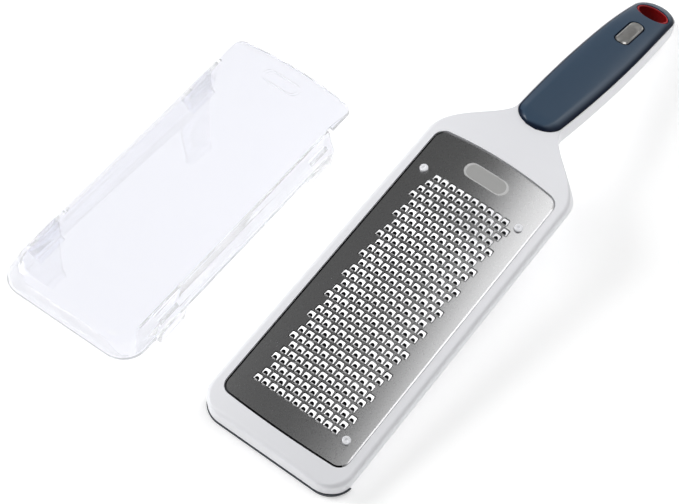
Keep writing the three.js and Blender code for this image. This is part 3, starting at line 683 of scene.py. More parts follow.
@dataclass(frozen=True)
class Tooth:
    """One raised tongue, which points to the handle, and the slot round it, about the tooth's place."""

    pitch: float = 4.15
    row_pitch: float = 4.2
    near: float = -2.15
    slot_half: float = 1.86
    slot_far: float = 1.88
    slot_heel: float = -1.9
    slot_corner: float = 0.9
    heel_half: float = 1.8
    heel_inner: float = 0.72
    tip_at: float = -0.4
    tip_half: float = 0.55
    tip_corner: float = 0.25
    rise: float = 0.6
    rise_start: float = -2.0
    rise_power: float = 1.3
    lattice: int = 3
    bend_steps: int = 3

    def border(self) -> Outline:
        """Points round the tooth's share of the plate, on the lattice that neighbouring rows share.

        Returns:
            The points, anticlockwise.
        """
        half, far = self.pitch / 2, self.near + self.row_pitch
        across = steps(-half, half, self.lattice)
        return [Vector((x, self.near)) for x in across] + [Vector((x, far)) for x in reversed(across)]

    def slot(self) -> Outline:
        """Points round the slot: its outer bend, and back along the tongue.

        Returns:
            The points, in order.
        """
        inset, corner = self.slot_half - self.slot_corner, self.slot_far - self.slot_corner
        points = [Vector((self.heel_half, self.slot_heel))]
        points += arc((inset, corner), self.slot_corner, 0, 90, self.bend_steps)
        points += arc((-inset, corner), self.slot_corner, 90, 180, self.bend_steps)
        points += [Vector((-self.heel_half, self.slot_heel))]
        side = self.tip_at - self.tip_corner
        half_way = (-mix(self.heel_inner, self.tip_half, 0.5), mix(self.slot_heel, side, 0.5))
        left = [(-self.heel_inner, self.slot_heel), half_way]
        left += [(-self.tip_half, side), (self.tip_corner - self.tip_half, self.tip_at)]
        points += [Vector(place) for place in left]
        points += [Vector((-x, y)) for x, y in reversed(left)]
        return points

    def lift(self, x: float, y: float) -> float:
        """Height of the tongue at a place in the tooth.

        Args:
            x: Place across the tooth.
            y: Place along it.

        Returns:
            The height, which is 0 off the tongue.
        """
        if abs(x) > self.heel_inner + TOUCH or not self.rise_start < y < self.tip_at + TOUCH:
            return 0.0
        return self.rise * ((y - self.rise_start) / (self.tip_at - self.rise_start)) ** self.rise_power

    def tile(self) -> tuple[Outline, list[list[int]]]:
        """Fill the space between the border and the slot.

        Returns:
            The points of the tile, and its faces as lists of their numbers.
        """
        border, slot = self.border(), self.slot()
        mesh = bpy.data.meshes.new("tooth_tile")
        loops = [range(len(border)), range(len(border), len(border) + len(slot))]
        edges = [(loop[k - 1], loop[k]) for loop in loops for k in range(len(loop))]
        mesh.from_pydata([point.to_3d() for point in border + slot], edges, [])
        tile = bpy.data.objects.new("tooth_tile", mesh)
        bpy.context.scene.collection.objects.link(tile)
        Workbench.pick(tile)
        bpy.ops.object.mode_set(mode="EDIT")
        bpy.ops.mesh.select_all(action="SELECT")
        bpy.ops.mesh.fill(use_beauty=True)
        bpy.ops.mesh.normals_make_consistent(inside=False)
        bpy.ops.object.mode_set(mode="OBJECT")
        points = [vert.co.to_2d() for vert in mesh.vertices]
        faces = [self._facing_up(points, list(face.vertices)) for face in mesh.polygons]
        bpy.data.objects.remove(tile)
        return points, faces

    @staticmethod
    def _facing_up(points: Outline, face: list[int]) -> list[int]:
        """A face's points in the order that makes it face up.

        Args:
            points: Points of the tile.
            face: Numbers of the face's points.

        Returns:
            The numbers, anticlockwise seen from above.
        """
        a, b, c = (points[k] for k in face[:3])
        turn = (b.x - a.x) * (c.y - a.y) - (b.y - a.y) * (c.x - a.x)
        return face if turn > 0 else face[::-1]


@dataclass(frozen=True)
class Plate:
    """The arched steel plate with its rows of teeth, and the bare etched pill near its far end."""

    length: float = 165.6
    width: float = 65.3
    thickness: float = 0.5
    corner: float = 5.5
    end_bow: float = 1.2
    arch_radius: float = 230.0
    tooth: Tooth = field(default_factory=Tooth)
    rows: int = 31
    teeth_per_row: int = 11
    teeth_far_inset: float = 24.8
    row_shifts: tuple[int, ...] = (-1, 1, 0)
    field_steps: int = 37
    corner_steps: int = 8
    end_rows: int = 5
    stake_side_inset: float = 6.75
    stake_far_inset: float = 23.8
    stake_near_inset: float = 13.65
    tooth_free_radius: float = 5.0
    pill_place: tuple[float, float] = (0.2, 70.6)
    pill_width: float = 23.0
    pill_height: float = 8.3
    pill_proud: float = 0.03
    pill_line: float = 0.45
    pill_shares: tuple[float, ...] = (1.0, 0.9, 0.75, 0.5, 0.25, 0.05)
    roll: float = 0.8
    roll_lead: float = 0.08
    roll_drop: float = 0.25
    # Painted shade on the rolled edge: its strength, and how far an edge must face left or near to get it.
    roll_shade: float = 1.0
    roll_facing: float = -0.6
    merge: float = 0.005
    sharp_angle: float = 16.0

    def arch(self, x: float) -> float:
        """Height of the plate's top at a place across it."""
        return math.sqrt(self.arch_radius**2 - x * x) - self.arch_radius

    def panel(self, grow: float = 0.0) -> Panel:
        """Plan of the plate without the near end's bow, grown by a clearance.

        Args:
            grow: How far it is grown.

        Returns:
            The plan.
        """
        corner = self.corner + grow
        reach = self.length / 2 - self.end_bow + grow
        return Panel(self.width / 2 + grow, -reach, reach, corner, corner, self.end_bow)

    def plan(self, grow: float = 0.0) -> Outline:
        """Outline of the plate with both ends bowed, grown by a clearance.

        Args:
            grow: How far it is grown.

        Returns:
            The points, anticlockwise.
        """
        panel = self.panel(grow)
        upper = [point for point in panel.outline() if point.y > 0]
        return upper + [Vector((-point.x, -point.y)) for point in upper]

    def stakes(self) -> dict[str, tuple[float, float]]:
        """Places of the stakes on the plate, by the names of their CAD nodes.

        Returns:
            Each place, across and along the plate.
        """
        x = self.width / 2 - self.stake_side_inset
        far, near = self.length / 2 - self.stake_far_inset, self.stake_near_inset - self.length / 2
        return {"stake_far_left": (-x, far), "stake_far_right": (x, far), "stake_near_right": (x, near)}

    def row_tip(self, row: int) -> float:
        """Place of a row of teeth along the plate."""
        return self.length / 2 - self.teeth_far_inset - row * self.tooth.row_pitch

    def is_free(self, x: float, y: float) -> bool:
        """Whether a tooth at a place clears every stake."""
        return all(math.hypot(x - a, y - b) > self.tooth_free_radius for a, b in self.stakes().values())

    def columns(self) -> list[float]:
        """Places of the net's columns across the plate: the teeth's lattice, then the rounded corners.

        Returns:
            The places, from left to right.
        """
        step = self.tooth.pitch / self.tooth.lattice
        reach = self.field_steps / 2
        inner = [step * (k - reach) for k in range(self.field_steps + 1)]
        angles = [math.radians(a) for a in steps(0, 90, self.corner_steps)]
        panel = self.panel(-self.roll)
        outer = [panel.half - panel.far_corner * (1 - math.sin(angle)) for angle in angles]
        return [-x for x in reversed(outer)] + inner + outer

    def end_at(self, x: float) -> float:
        """How far the plate's flat part reaches from its middle at a place across it.

        Args:
            x: Place across the plate.

        Returns:
            The distance along the plate.
        """
        panel = self.panel(-self.roll)
        beyond = abs(x) - (panel.half - panel.far_corner)
        if beyond <= 0:
            return panel.far_edge(x)
        return panel.far - panel.far_corner + math.sqrt(max(panel.far_corner**2 - beyond**2, 0.0))

    def net(self) -> tuple[list[Vector], list[list[int]], list[float]]:
        """The plate's top as points, faces and each point's share of a tooth's rise.

        Returns:
            The points, the faces as lists of their numbers, and the shares.
        """
        points: list[Vector] = []
        faces: list[list[int]] = []
        rises: list[float] = []

        def add(places: Sequence[tuple[float, float, float]], rings: Sequence[Sequence[int]]) -> None:
            """Add points with their rise, and the faces between them.

            Args:
                places: Each point's place across and along the plate, and its rise.
                rings: Faces, as numbers of these points.
            """
            first = len(points)
            points.extend(Vector((x, y, self.arch(x) + lift)) for x, y, lift in places)
            rises.extend(lift / self.tooth.rise for _, _, lift in places)
            faces.extend([first + k for k in ring] for ring in rings)

        def quad(left: float, right: float, low: Sequence[float], high: Sequence[float]) -> None:
            """Add one plain face between two columns."""
            corners = [(left, low[0], 0.0), (right, low[1], 0.0), (right, high[1], 0.0), (left, high[0], 0.0)]
            add(corners, [[0, 1, 2, 3]])

        tile, tile_faces = self.tooth.tile()
        columns = self.columns()
        for row in range(self.rows):
            tip = self.row_tip(row)
            low, high = tip + self.tooth.near, tip + self.tooth.near + self.tooth.row_pitch
            taken = self._teeth_of(row)
            for x in taken:
                add([(x + p.x, tip + p.y, self.tooth.lift(p.x, p.y)) for p in tile], tile_faces)
            for left, right in zip(columns, columns[1:]):
                middle = (left + right) / 2
                if all(abs(middle - x) > self.tooth.pitch / 2 for x in taken):
                    quad(left, right, (low, low), (high, high))
        far = self.row_tip(0) + self.tooth.near + self.tooth.row_pitch
        near = self.row_tip(self.rows - 1) + self.tooth.near
        shares = steps(0, 1, self.end_rows)
        for left, right in zip(columns, columns[1:]):
            ends = self.end_at(left), self.end_at(right)
            for span in zip(shares, shares[1:]):
                inner, outer = ([mix(far, end, share) for end in ends] for share in span)
                quad(left, right, inner, outer)
                inner, outer = ([mix(near, -end, share) for end in ends] for share in span)
                quad(left, right, outer, inner)
        return points, faces, rises

    def _teeth_of(self, row: int) -> list[float]:
        """Places across the plate of the teeth in a row.

        Args:
            row: Number of the row, from the far end.

        Returns:
            The places, from left to right.
        """
        shift = self.row_shifts[row % len(self.row_shifts)] / self.tooth.lattice
        middle = (self.teeth_per_row - 1) / 2
        places = [(shift + column - middle) * self.tooth.pitch for column in range(self.teeth_per_row)]
        return [x for x in places if self.is_free(x, self.row_tip(row))]

    def build(self) -> bpy.types.Object:
        """Model the plate in the blade's frame.

        Returns:
            The new object.
        """
        points, faces, rises = self.net()
        mesh = bpy.data.meshes.new("toothed_plate")
        mesh.from_pydata(points, [], faces)
        # Each point's share of its tongue's rise also sets the painted shade on the raised tips.
        tip = mesh.attributes.new(PLATE_STEEL.mark, "FLOAT", "POINT")
        tip.data.foreach_set("value", rises)
        plate = bpy.data.objects.new("toothed_plate", mesh)
        bpy.context.scene.collection.objects.link(plate)
        Workbench.pick(plate)
        bpy.ops.object.mode_set(mode="EDIT")
        bpy.ops.mesh.select_all(action="SELECT")
        bpy.ops.mesh.remove_doubles(threshold=self.merge)
        self._roll_edge(plate)
        bpy.ops.object.mode_set(mode="OBJECT")
        bpy.ops.object.modifier_add(type="SOLIDIFY")
        plate.modifiers[-1].thickness = self.thickness
        plate.modifiers[-1].offset = -1.0
        bpy.ops.object.modifier_apply(modifier=plate.modifiers[-1].name)
        Workbench.smooth(plate, self.sharp_angle)
        return plate

    def _roll_edge(self, plate: bpy.types.Object) -> None:
        """Turn the sheet's edge down all round, and paint shade on it along the left and near sides.

        Args:
            plate: The sheet's flat part, in edit mode.
        """
        bpy.ops.mesh.select_mode(type="EDGE")
        mesh = bmesh.from_edit_mesh(plate.data)
        for edge in mesh.edges:
            edge.select_set(edge.is_boundary and all(self._is_outer(vert.co) for vert in edge.verts))
        bmesh.update_edit_mesh(plate.data)
        for out, drop in ((self.roll_lead, 0.0), (self.roll - self.roll_lead, self.roll_drop)):
            bpy.ops.mesh.extrude_region()
            mesh = bmesh.from_edit_mesh(plate.data)
            mark = mesh.verts.layers.float[PLATE_STEEL.mark]
            for vert in (vert for vert in mesh.verts if vert.select):
                way = self.outward(vert.co)
                x, y = vert.co.x + way.x * out, vert.co.y + way.y * out
                vert.co = Vector((x, y, self.arch(x) - drop))
                # Painted shade where the edge faces left or near.
                vert[mark] = self.roll_shade if min(way.x, way.y) < self.roll_facing else 0.0
            bmesh.update_edit_mesh(plate.data)
        mesh.normal_update()
        for face in mesh.faces:
            if face.normal.z < 0:
                face.normal_flip()
        bmesh.update_edit_mesh(plate.data)

    def _is_outer(self, point: Vector) -> bool:
        """Whether a point lies on the outline of the plate's flat part.

        Args:
            point: Place in the blade's frame.

        Returns:
            True on the outline.
        """
        side = abs(point.x) > self.panel(-self.roll).half - TOUCH
        return side or abs(point.y) > self.end_at(point.x) - TOUCH

    def outward(self, point: Vector) -> Vector:
        """Way straight out of the plate from a point on its outline.

        Args:
            point: Place in the blade's frame.

        Returns:
            The way, of length 1, in the plane.
        """
        panel = self.panel(-self.roll)
        side, end = panel.half - panel.far_corner, panel.far - panel.far_corner
        across = math.copysign(max(abs(point.x) - side, 0.0), point.x)
        along = math.copysign(max(abs(point.y) - end, 0.0), point.y)
        return Vector((across, along)).normalized()

    def film(self, share: float, rise: float) -> list[Vector]:
        """Outline of the etched pill, drawn in to a share and set above the plate's arch.

        Args:
            share: Share of the pill's size.
            rise: Height above the arch.

        Returns:
            The points.
        """
        middle = Vector(self.pill_place)
        outline = [point * share + middle for point in pill(self.pill_width, self.pill_height)]
        return [Vector((p.x, p.y, self.arch(p.x) + rise)) for p in outline]

    def build_pill(self) -> bpy.types.Object:
        """Model the bare etched pill, a film that follows the plate's arch.

        Returns:
            The new object.
        """
        rings = [self.film(share, self.pill_proud) for share in self.pill_shares]
        patch = Workbench.loft("plate_pill", [self.film(1.0, -self.pill_proud), *rings])
        Workbench.smooth(patch)
        return patch

    def build_pill_line(self) -> bpy.types.Object:
        """Model the thin line round the etched pill.

        Returns:
            The new object.
        """
        inner = 1.0 - 2 * self.pill_line / self.pill_height
        high = self.pill_proud * 2
        rings = [self.film(1.0, 0.0), self.film(1.0, high), self.film(inner, high), self.film(inner, 0.0)]
        line = Workbench.tube("pill_line", rings)
        Workbench.smooth(line)
        return line

    def assemble(self, dresser: Dresser, blade: Matrix) -> None:
        """Build and dress the plate, its pill and the line round that.

        Args:
            dresser: Gives each piece its finish and its body.
            blade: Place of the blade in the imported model.
        """
        plate = Workbench.place(self.build(), blade)
        dresser.dress(plate, PLATE_STEEL, Body.GRATER, "plate_steel", "grater_plate")
        patch = Workbench.place(self.build_pill(), blade)
        dresser.dress(patch, ETCHED_STEEL, Body.GRATER, "plate_steel")
        line = Workbench.place(self.build_pill_line(), blade)
        dresser.dress(line, LINE_STEEL, Body.GRATER, "plate_steel")


@dataclass(frozen=True)
class Stake:
    """Dimpled head of a pin that holds the plate down, with its shank through the plate."""

    head_width: float = 4.0
    head_height: float = 0.9
    dimple_width: float = 1.7
    dimple_depth: float = 0.45
    shank_width: float = 2.4
    shank_length: float = 4.5
    edge: float = 0.35
    edge_start: float = 0.3
    dimple: tuple[tuple[float, float], ...] = ((1.0, 0.0), (0.6, 0.8), (0.2, 1.0))
    sides: int = 40
    sharp_angle: float = 50.0

    def build(self) -> bpy.types.Object:
        """Model one stake about the middle of the plate's top.

        Returns:
            The new object.
        """
        top, start = CLEARANCE + self.head_height, self.edge * self.edge_start
        profile = [(self.shank_width, -self.shank_length), (self.shank_width, CLEARANCE)]
        profile += [(self.head_width, CLEARANCE), (self.head_width, top - self.edge)]
        profile += [(self.head_width - 2 * start, top - start), (self.head_width - 2 * self.edge, top)]
        dimple = [(self.dimple_width * width, self.dimple_depth * depth) for width, depth in self.dimple]
        profile += [(width, top - depth) for width, depth in dimple]
        rings = [level(ellipse(width, width, self.sides), z) for width, z in profile]
        stake = Workbench.loft("stake_model", rings)
        Workbench.smooth(stake, self.sharp_angle)
        return stake

    def assemble(self, dresser: Dresser, blade: Matrix, plate: Plate) -> None:
        """Model one stake, and dress a copy of it square on the plate at each place.

        Args:
            dresser: Gives each piece its finish and its body.
            blade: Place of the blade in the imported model.
            plate: Plate that the stakes hold.
        """
        model = self.build()
        for node, (x, y) in plate.stakes().items():
            head = Workbench.copy(model, node.replace("stake", "staked_pin"))
            tilt = Matrix.Rotation(math.asin(x / plate.arch_radius), 4, "Y")
            Workbench.place(head, blade @ Matrix.Translation((x, y, plate.arch(x))) @ tilt)
            dresser.dress(head, WHITE_PLASTIC, Body.GRATER, "white_plastic", node)
        bpy.data.objects.remove(model)


@dataclass(frozen=True)
class Grip:
    """The soft inlay of the handle, along the handle from where its straight edges begin."""

    near_end: float = 4.8
    far_end: float = 127.2
    neck_width: float = 22.0
    belly_width: float = 26.0
    tail_width: float = 21.4
    belly_at: float = 58.0
    tail_at: float = 115.6
    near_round: float = 9.0
    far_round: float = 12.0
    crown: float = 2.2
    flatness: float = 2.2
    edge_roundness: float = 0.48
    top_share: float = 0.68
    top_end: float = 60.0
    edge_rise: float = 0.25
    seat: float = 3.0
    droop_at: float = 85.0
    droop_radius: float = 240.0
    # Widths of the painted shade along the grip's left and right edges.
    shade_left: float = 1.4
    shade_right: float = 4.0
    first_angle: float = 12.0
    end_steps: int = 14
    long_steps: int = 60
    crown_steps: int = 36
    badge_at: float = 89.0
    badge_length: float = 20.5
    badge_width: float = 7.0
    badge_thickness: float = 1.4
    badge_proud: float = 0.3
    badge_near_corner: float = 2.6
    badge_edge: float = 0.75
    badge_slope: float = 0.7
    badge_brink: float = 0.1
    badge_sharp_angle: float = 20.0
    badge_gap: float = 0.85
    # Depth below the crown where the painted shade in the badge's seat starts.
    seat_lit: float = 0.6
    hole_at: float = 114.3
    hole_width: float = 17.0
    hole_length: float = 12.8
    ring_wall: float = 1.1
    ring_top: float = 1.5
    ring_base: float = 10.5
    ring_lip: float = 0.5
    lip_start: float = 0.3
    lip_inside: float = 0.6
    # Share of the lip, below its top, that the painted highlight reaches.
    lip_lit: float = 0.5
    edge: float = 0.3
    edge_segments: int = 3
    sharp_angle: float = 50.0

    def droop(self, along: float) -> float:
        """How far the handle's top has drooped at a place along it."""
        return max(along - self.droop_at, 0.0) ** 2 / (2 * self.droop_radius)

    def stand(self, along: float) -> Matrix:
        """Matrix that stands a piece square on the handle's top at a place along it."""
        slope = math.atan2(max(along - self.droop_at, 0.0), self.droop_radius)
        return Matrix.Translation((0.0, along, -self.droop(along))) @ Matrix.Rotation(-slope, 4, "X")

    def half_at(self, along: float) -> float:
        """Half of the grip's width at a place along its straight edges.

        Args:
            along: Place along the handle.

        Returns:
            Half of the width.
        """
        belly, along = self.belly_width / 2, min(along, self.tail_at)
        if along < self.belly_at:
            share = (self.belly_at - max(along, 0.0)) / self.belly_at
            return belly - (belly - self.neck_width / 2) * share**2
        share = (along - self.belly_at) / (self.tail_at - self.belly_at)
        return belly - (belly - self.tail_width / 2) * share**2

    def stations(self) -> list[tuple[float, float]]:
        """Places along the grip, each with the share of its width and height that is left there.

        Returns:
            Each place and its share.
        """
        angles = [math.radians(a) for a in steps(self.first_angle, 90.0, self.end_steps)]
        near = [(self.near_round * (1 - math.cos(a)) - self.near_end, math.sin(a)) for a in angles]
        far = [(self.far_end - self.far_round * (1 - math.cos(a)), math.sin(a)) for a in reversed(angles)]
        inner = steps(near[-1][0], far[0][0], self.long_steps)[1:-1]
        return near + [(along, 1.0) for along in inner] + far

    def ring(self, along: float, share: float) -> list[Vector]:
        """Pillow-shaped section: square below, rounded over the top.

        Args:
            along: Place along the handle.
            share: Share of the width and height.

        Returns:
            Points round the section.
        """
        half, base = self.half_at(along) * share, -self.droop(along)
        ring = [Vector((-half, along, base - self.seat)), Vector((half, along, base - self.seat))]
        for angle in steps(0.0, math.pi, self.crown_steps):
            side = math.cos(angle)
            rise = self.crown * share * self.rise_at(abs(side), along)
            ring.append(Vector((half * side, along, base + rise)))
        return ring

    def rise_at(self, side: float, along: float) -> float:
        """Share of the crown's height at a place on the grip.

        Args:
            side: Share of the way from the grip's middle line to its edge.
            along: Place along the grip.

        Returns:
            The share: a pillow, which turns to a flat top with sloping edges at the near end.
        """
        pillow = max(1 - side**self.flatness, 0.0) ** self.edge_roundness
        slope = min((1 - side) / (1 - self.top_share), 1.0)
        fade = min(max(1 - along / self.top_end, 0.0), 1.0)
        return mix(pillow, mix(self.edge_rise, 1.0, slope), fade)

    def badge_outline(self, grow: float = 0.0) -> Outline:
        """Plan of the badge: squarer at its near end, round at its far end, grown by a clearance.

        Args:
            grow: How far it is grown.

        Returns:
            The points, anticlockwise.
        """
        half, reach = self.badge_width / 2 + grow, self.badge_length / 2 + grow
        panel = Panel(half, -reach, reach, self.badge_near_corner + grow, half - TOUCH)
        return panel.outline()

    def hole_outline(self, grow: float) -> Outline:
        """Outline of the hang hole's liner, grown or drawn in all round."""
        return ellipse(self.hole_width + 2 * grow, self.hole_length + 2 * grow)

    def hole(self) -> bpy.types.Object:
        """Solid that cuts the seat of the hang hole's liner."""
        cutter = Workbench.prism("hole_cutter", self.hole_outline(CLEARANCE), -BEYOND, BEYOND)
        return Workbench.place(cutter, self.stand(self.hole_at))

    def recess(self) -> bpy.types.Object:
        """Solid that cuts the seat of the grip.

        Returns:
            The new object.
        """
        stations = self.stations()
        rings = []
        for number, (along, share) in enumerate(stations):
            past = (number == len(stations) - 1) - (number == 0)
            half, floor = self.half_at(along) * share + CLEARANCE, -self.droop(along) - self.seat - CLEARANCE
            corners = [(-half, floor), (half, floor), (half, BEYOND), (-half, BEYOND)]
            rings.append([Vector((x, along + past * CLEARANCE, z)) for x, z in corners])
        return Workbench.loft("grip_cutter", rings)

    def build(self) -> bpy.types.Object:
        """Model the grip in the handle's frame.

        Returns:
            The new object.
        """
        grip = Workbench.loft("grip_pad", [self.ring(*station) for station in self.stations()])
        floor = self.crown + self.badge_proud - self.badge_thickness - CLEARANCE
        seat = Workbench.prism("badge_cutter", self.badge_outline(self.badge_gap), floor, BEYOND)
        Workbench.cut(grip, Workbench.place(seat, self.stand(self.badge_at)))
        Workbench.cut(grip, self.hole())
        Workbench.tidy(grip)
        Workbench.soften(grip, self.edge, self.edge_segments, self.sharp_angle)
        Workbench.smooth(grip, self.sharp_angle)
        self._shade_edge(grip)
        return grip

    def _shade_edge(self, grip: bpy.types.Object) -> None:
        """Paint shade along the grip's outline and in the badge's seat, as an attribute of each point."""
        shade = grip.data.attributes.new(NAVY_SOFT.mark, "FLOAT", "POINT")
        shade.data.foreach_set("value", [self._shade_at(vert.co) for vert in grip.data.vertices])

    def _shade_at(self, point: Vector) -> float:
        """How much painted shade the grip has at a point.

        Args:
            point: Place in the handle's frame.

        Returns:
            1 at the outline and deep in the badge's seat, and 0 well inside.
        """
        if self._in_seat(point):
            return 1.0
        width = self.shade_left if point.x < 0 else self.shade_right
        return min(max(1.0 - self.inset(point) / width, 0.0), 1.0)

    def _in_seat(self, point: Vector) -> bool:
        """Whether a point lies deep in the badge's seat.

        Args:
            point: Place in the handle's frame.

        Returns:
            True on the seat's floor and the foot of its walls.
        """
        place = self.stand(self.badge_at).inverted() @ point
        gap, top = 2 * self.badge_gap, self.crown - self.seat_lit
        half, reach = self.badge_width / 2 + gap, self.badge_length / 2 + gap
        return abs(place.x) < half and abs(place.y) < reach and 0.0 < place.z < top

    def inset(self, point: Vector) -> float:
        """How far a point lies inside the grip's outline, seen from above.

        Args:
            point: Place in the handle's frame.

        Returns:
            The least distance to the sides and to the ends.
        """
        before, after = point.y + self.near_end, self.far_end - point.y
        share = 1.0
        for reach, rounding in ((before, self.near_round), (after, self.far_round)):
            if reach < rounding:
                share = math.sqrt(max(1.0 - (1.0 - max(reach, 0.0) / rounding) ** 2, 0.0))
        return min(before, after, self.half_at(point.y) * share - abs(point.x))

    def build_badge(self) -> bpy.types.Object:
        """Model the bare badge, with a sloping edge round its top.

        Returns:
            The new object.
        """
        top, edge = self.crown + self.badge_proud, self.badge_edge
        heights = [(0.0, top - self.badge_thickness), (0.0, top - self.badge_slope * edge)]
        heights += [(-edge, top), (-edge - self.badge_brink, top)]
        badge = Workbench.loft("badge_plate", [level(self.badge_outline(grow), z) for grow, z in heights])
        Workbench.smooth(badge, self.badge_sharp_angle)
        return Workbench.place(badge, self.stand(self.badge_at))

    def build_ring(self) -> bpy.types.Object:
        """Model the hang hole's liner, with a rounded lip.

        Returns:
            The new object.
        """
        lip, top, base = self.ring_lip, self.ring_top, -self.ring_base
        start, wall = self.lip_start * lip, -self.ring_wall
        walls = [(0.0, base), (0.0, top - lip), (-start, top - start), (-lip, top)]
        walls += [(wall, top - lip * self.lip_inside), (wall, base)]
        liner = Workbench.tube("hole_liner", [level(self.hole_outline(grow), z) for grow, z in walls])
        Workbench.smooth(liner, self.sharp_angle)
        # Painted highlight: the top of the lip turns a lighter red.
        light, lit = liner.data.attributes.new(RED_PLASTIC.mark, "FLOAT", "POINT"), top - lip * self.lip_lit
        light.data.foreach_set("value", [float(vert.co.z > lit) for vert in liner.data.vertices])
        return Workbench.place(liner, self.stand(self.hole_at))

    def assemble(self, dresser: Dresser, handle: Matrix) -> None:
        """Build and dress the grip, its badge and the hang hole's liner.

        Args:
            dresser: Gives each piece its finish and its body.
            handle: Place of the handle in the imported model.
        """
        pad = Workbench.place(self.build(), handle)
        dresser.dress(pad, NAVY_SOFT, Body.GRATER, "navy_soft", "soft_grip")
        badge = Workbench.place(self.build_badge(), handle)
        dresser.dress(badge, BADGE_STEEL, Body.GRATER, "badge_steel", "handle_badge")
        liner = Workbench.place(self.build_ring(), handle)
        dresser.dress(liner, RED_PLASTIC, Body.GRATER, "red_plastic", "hang_ring")


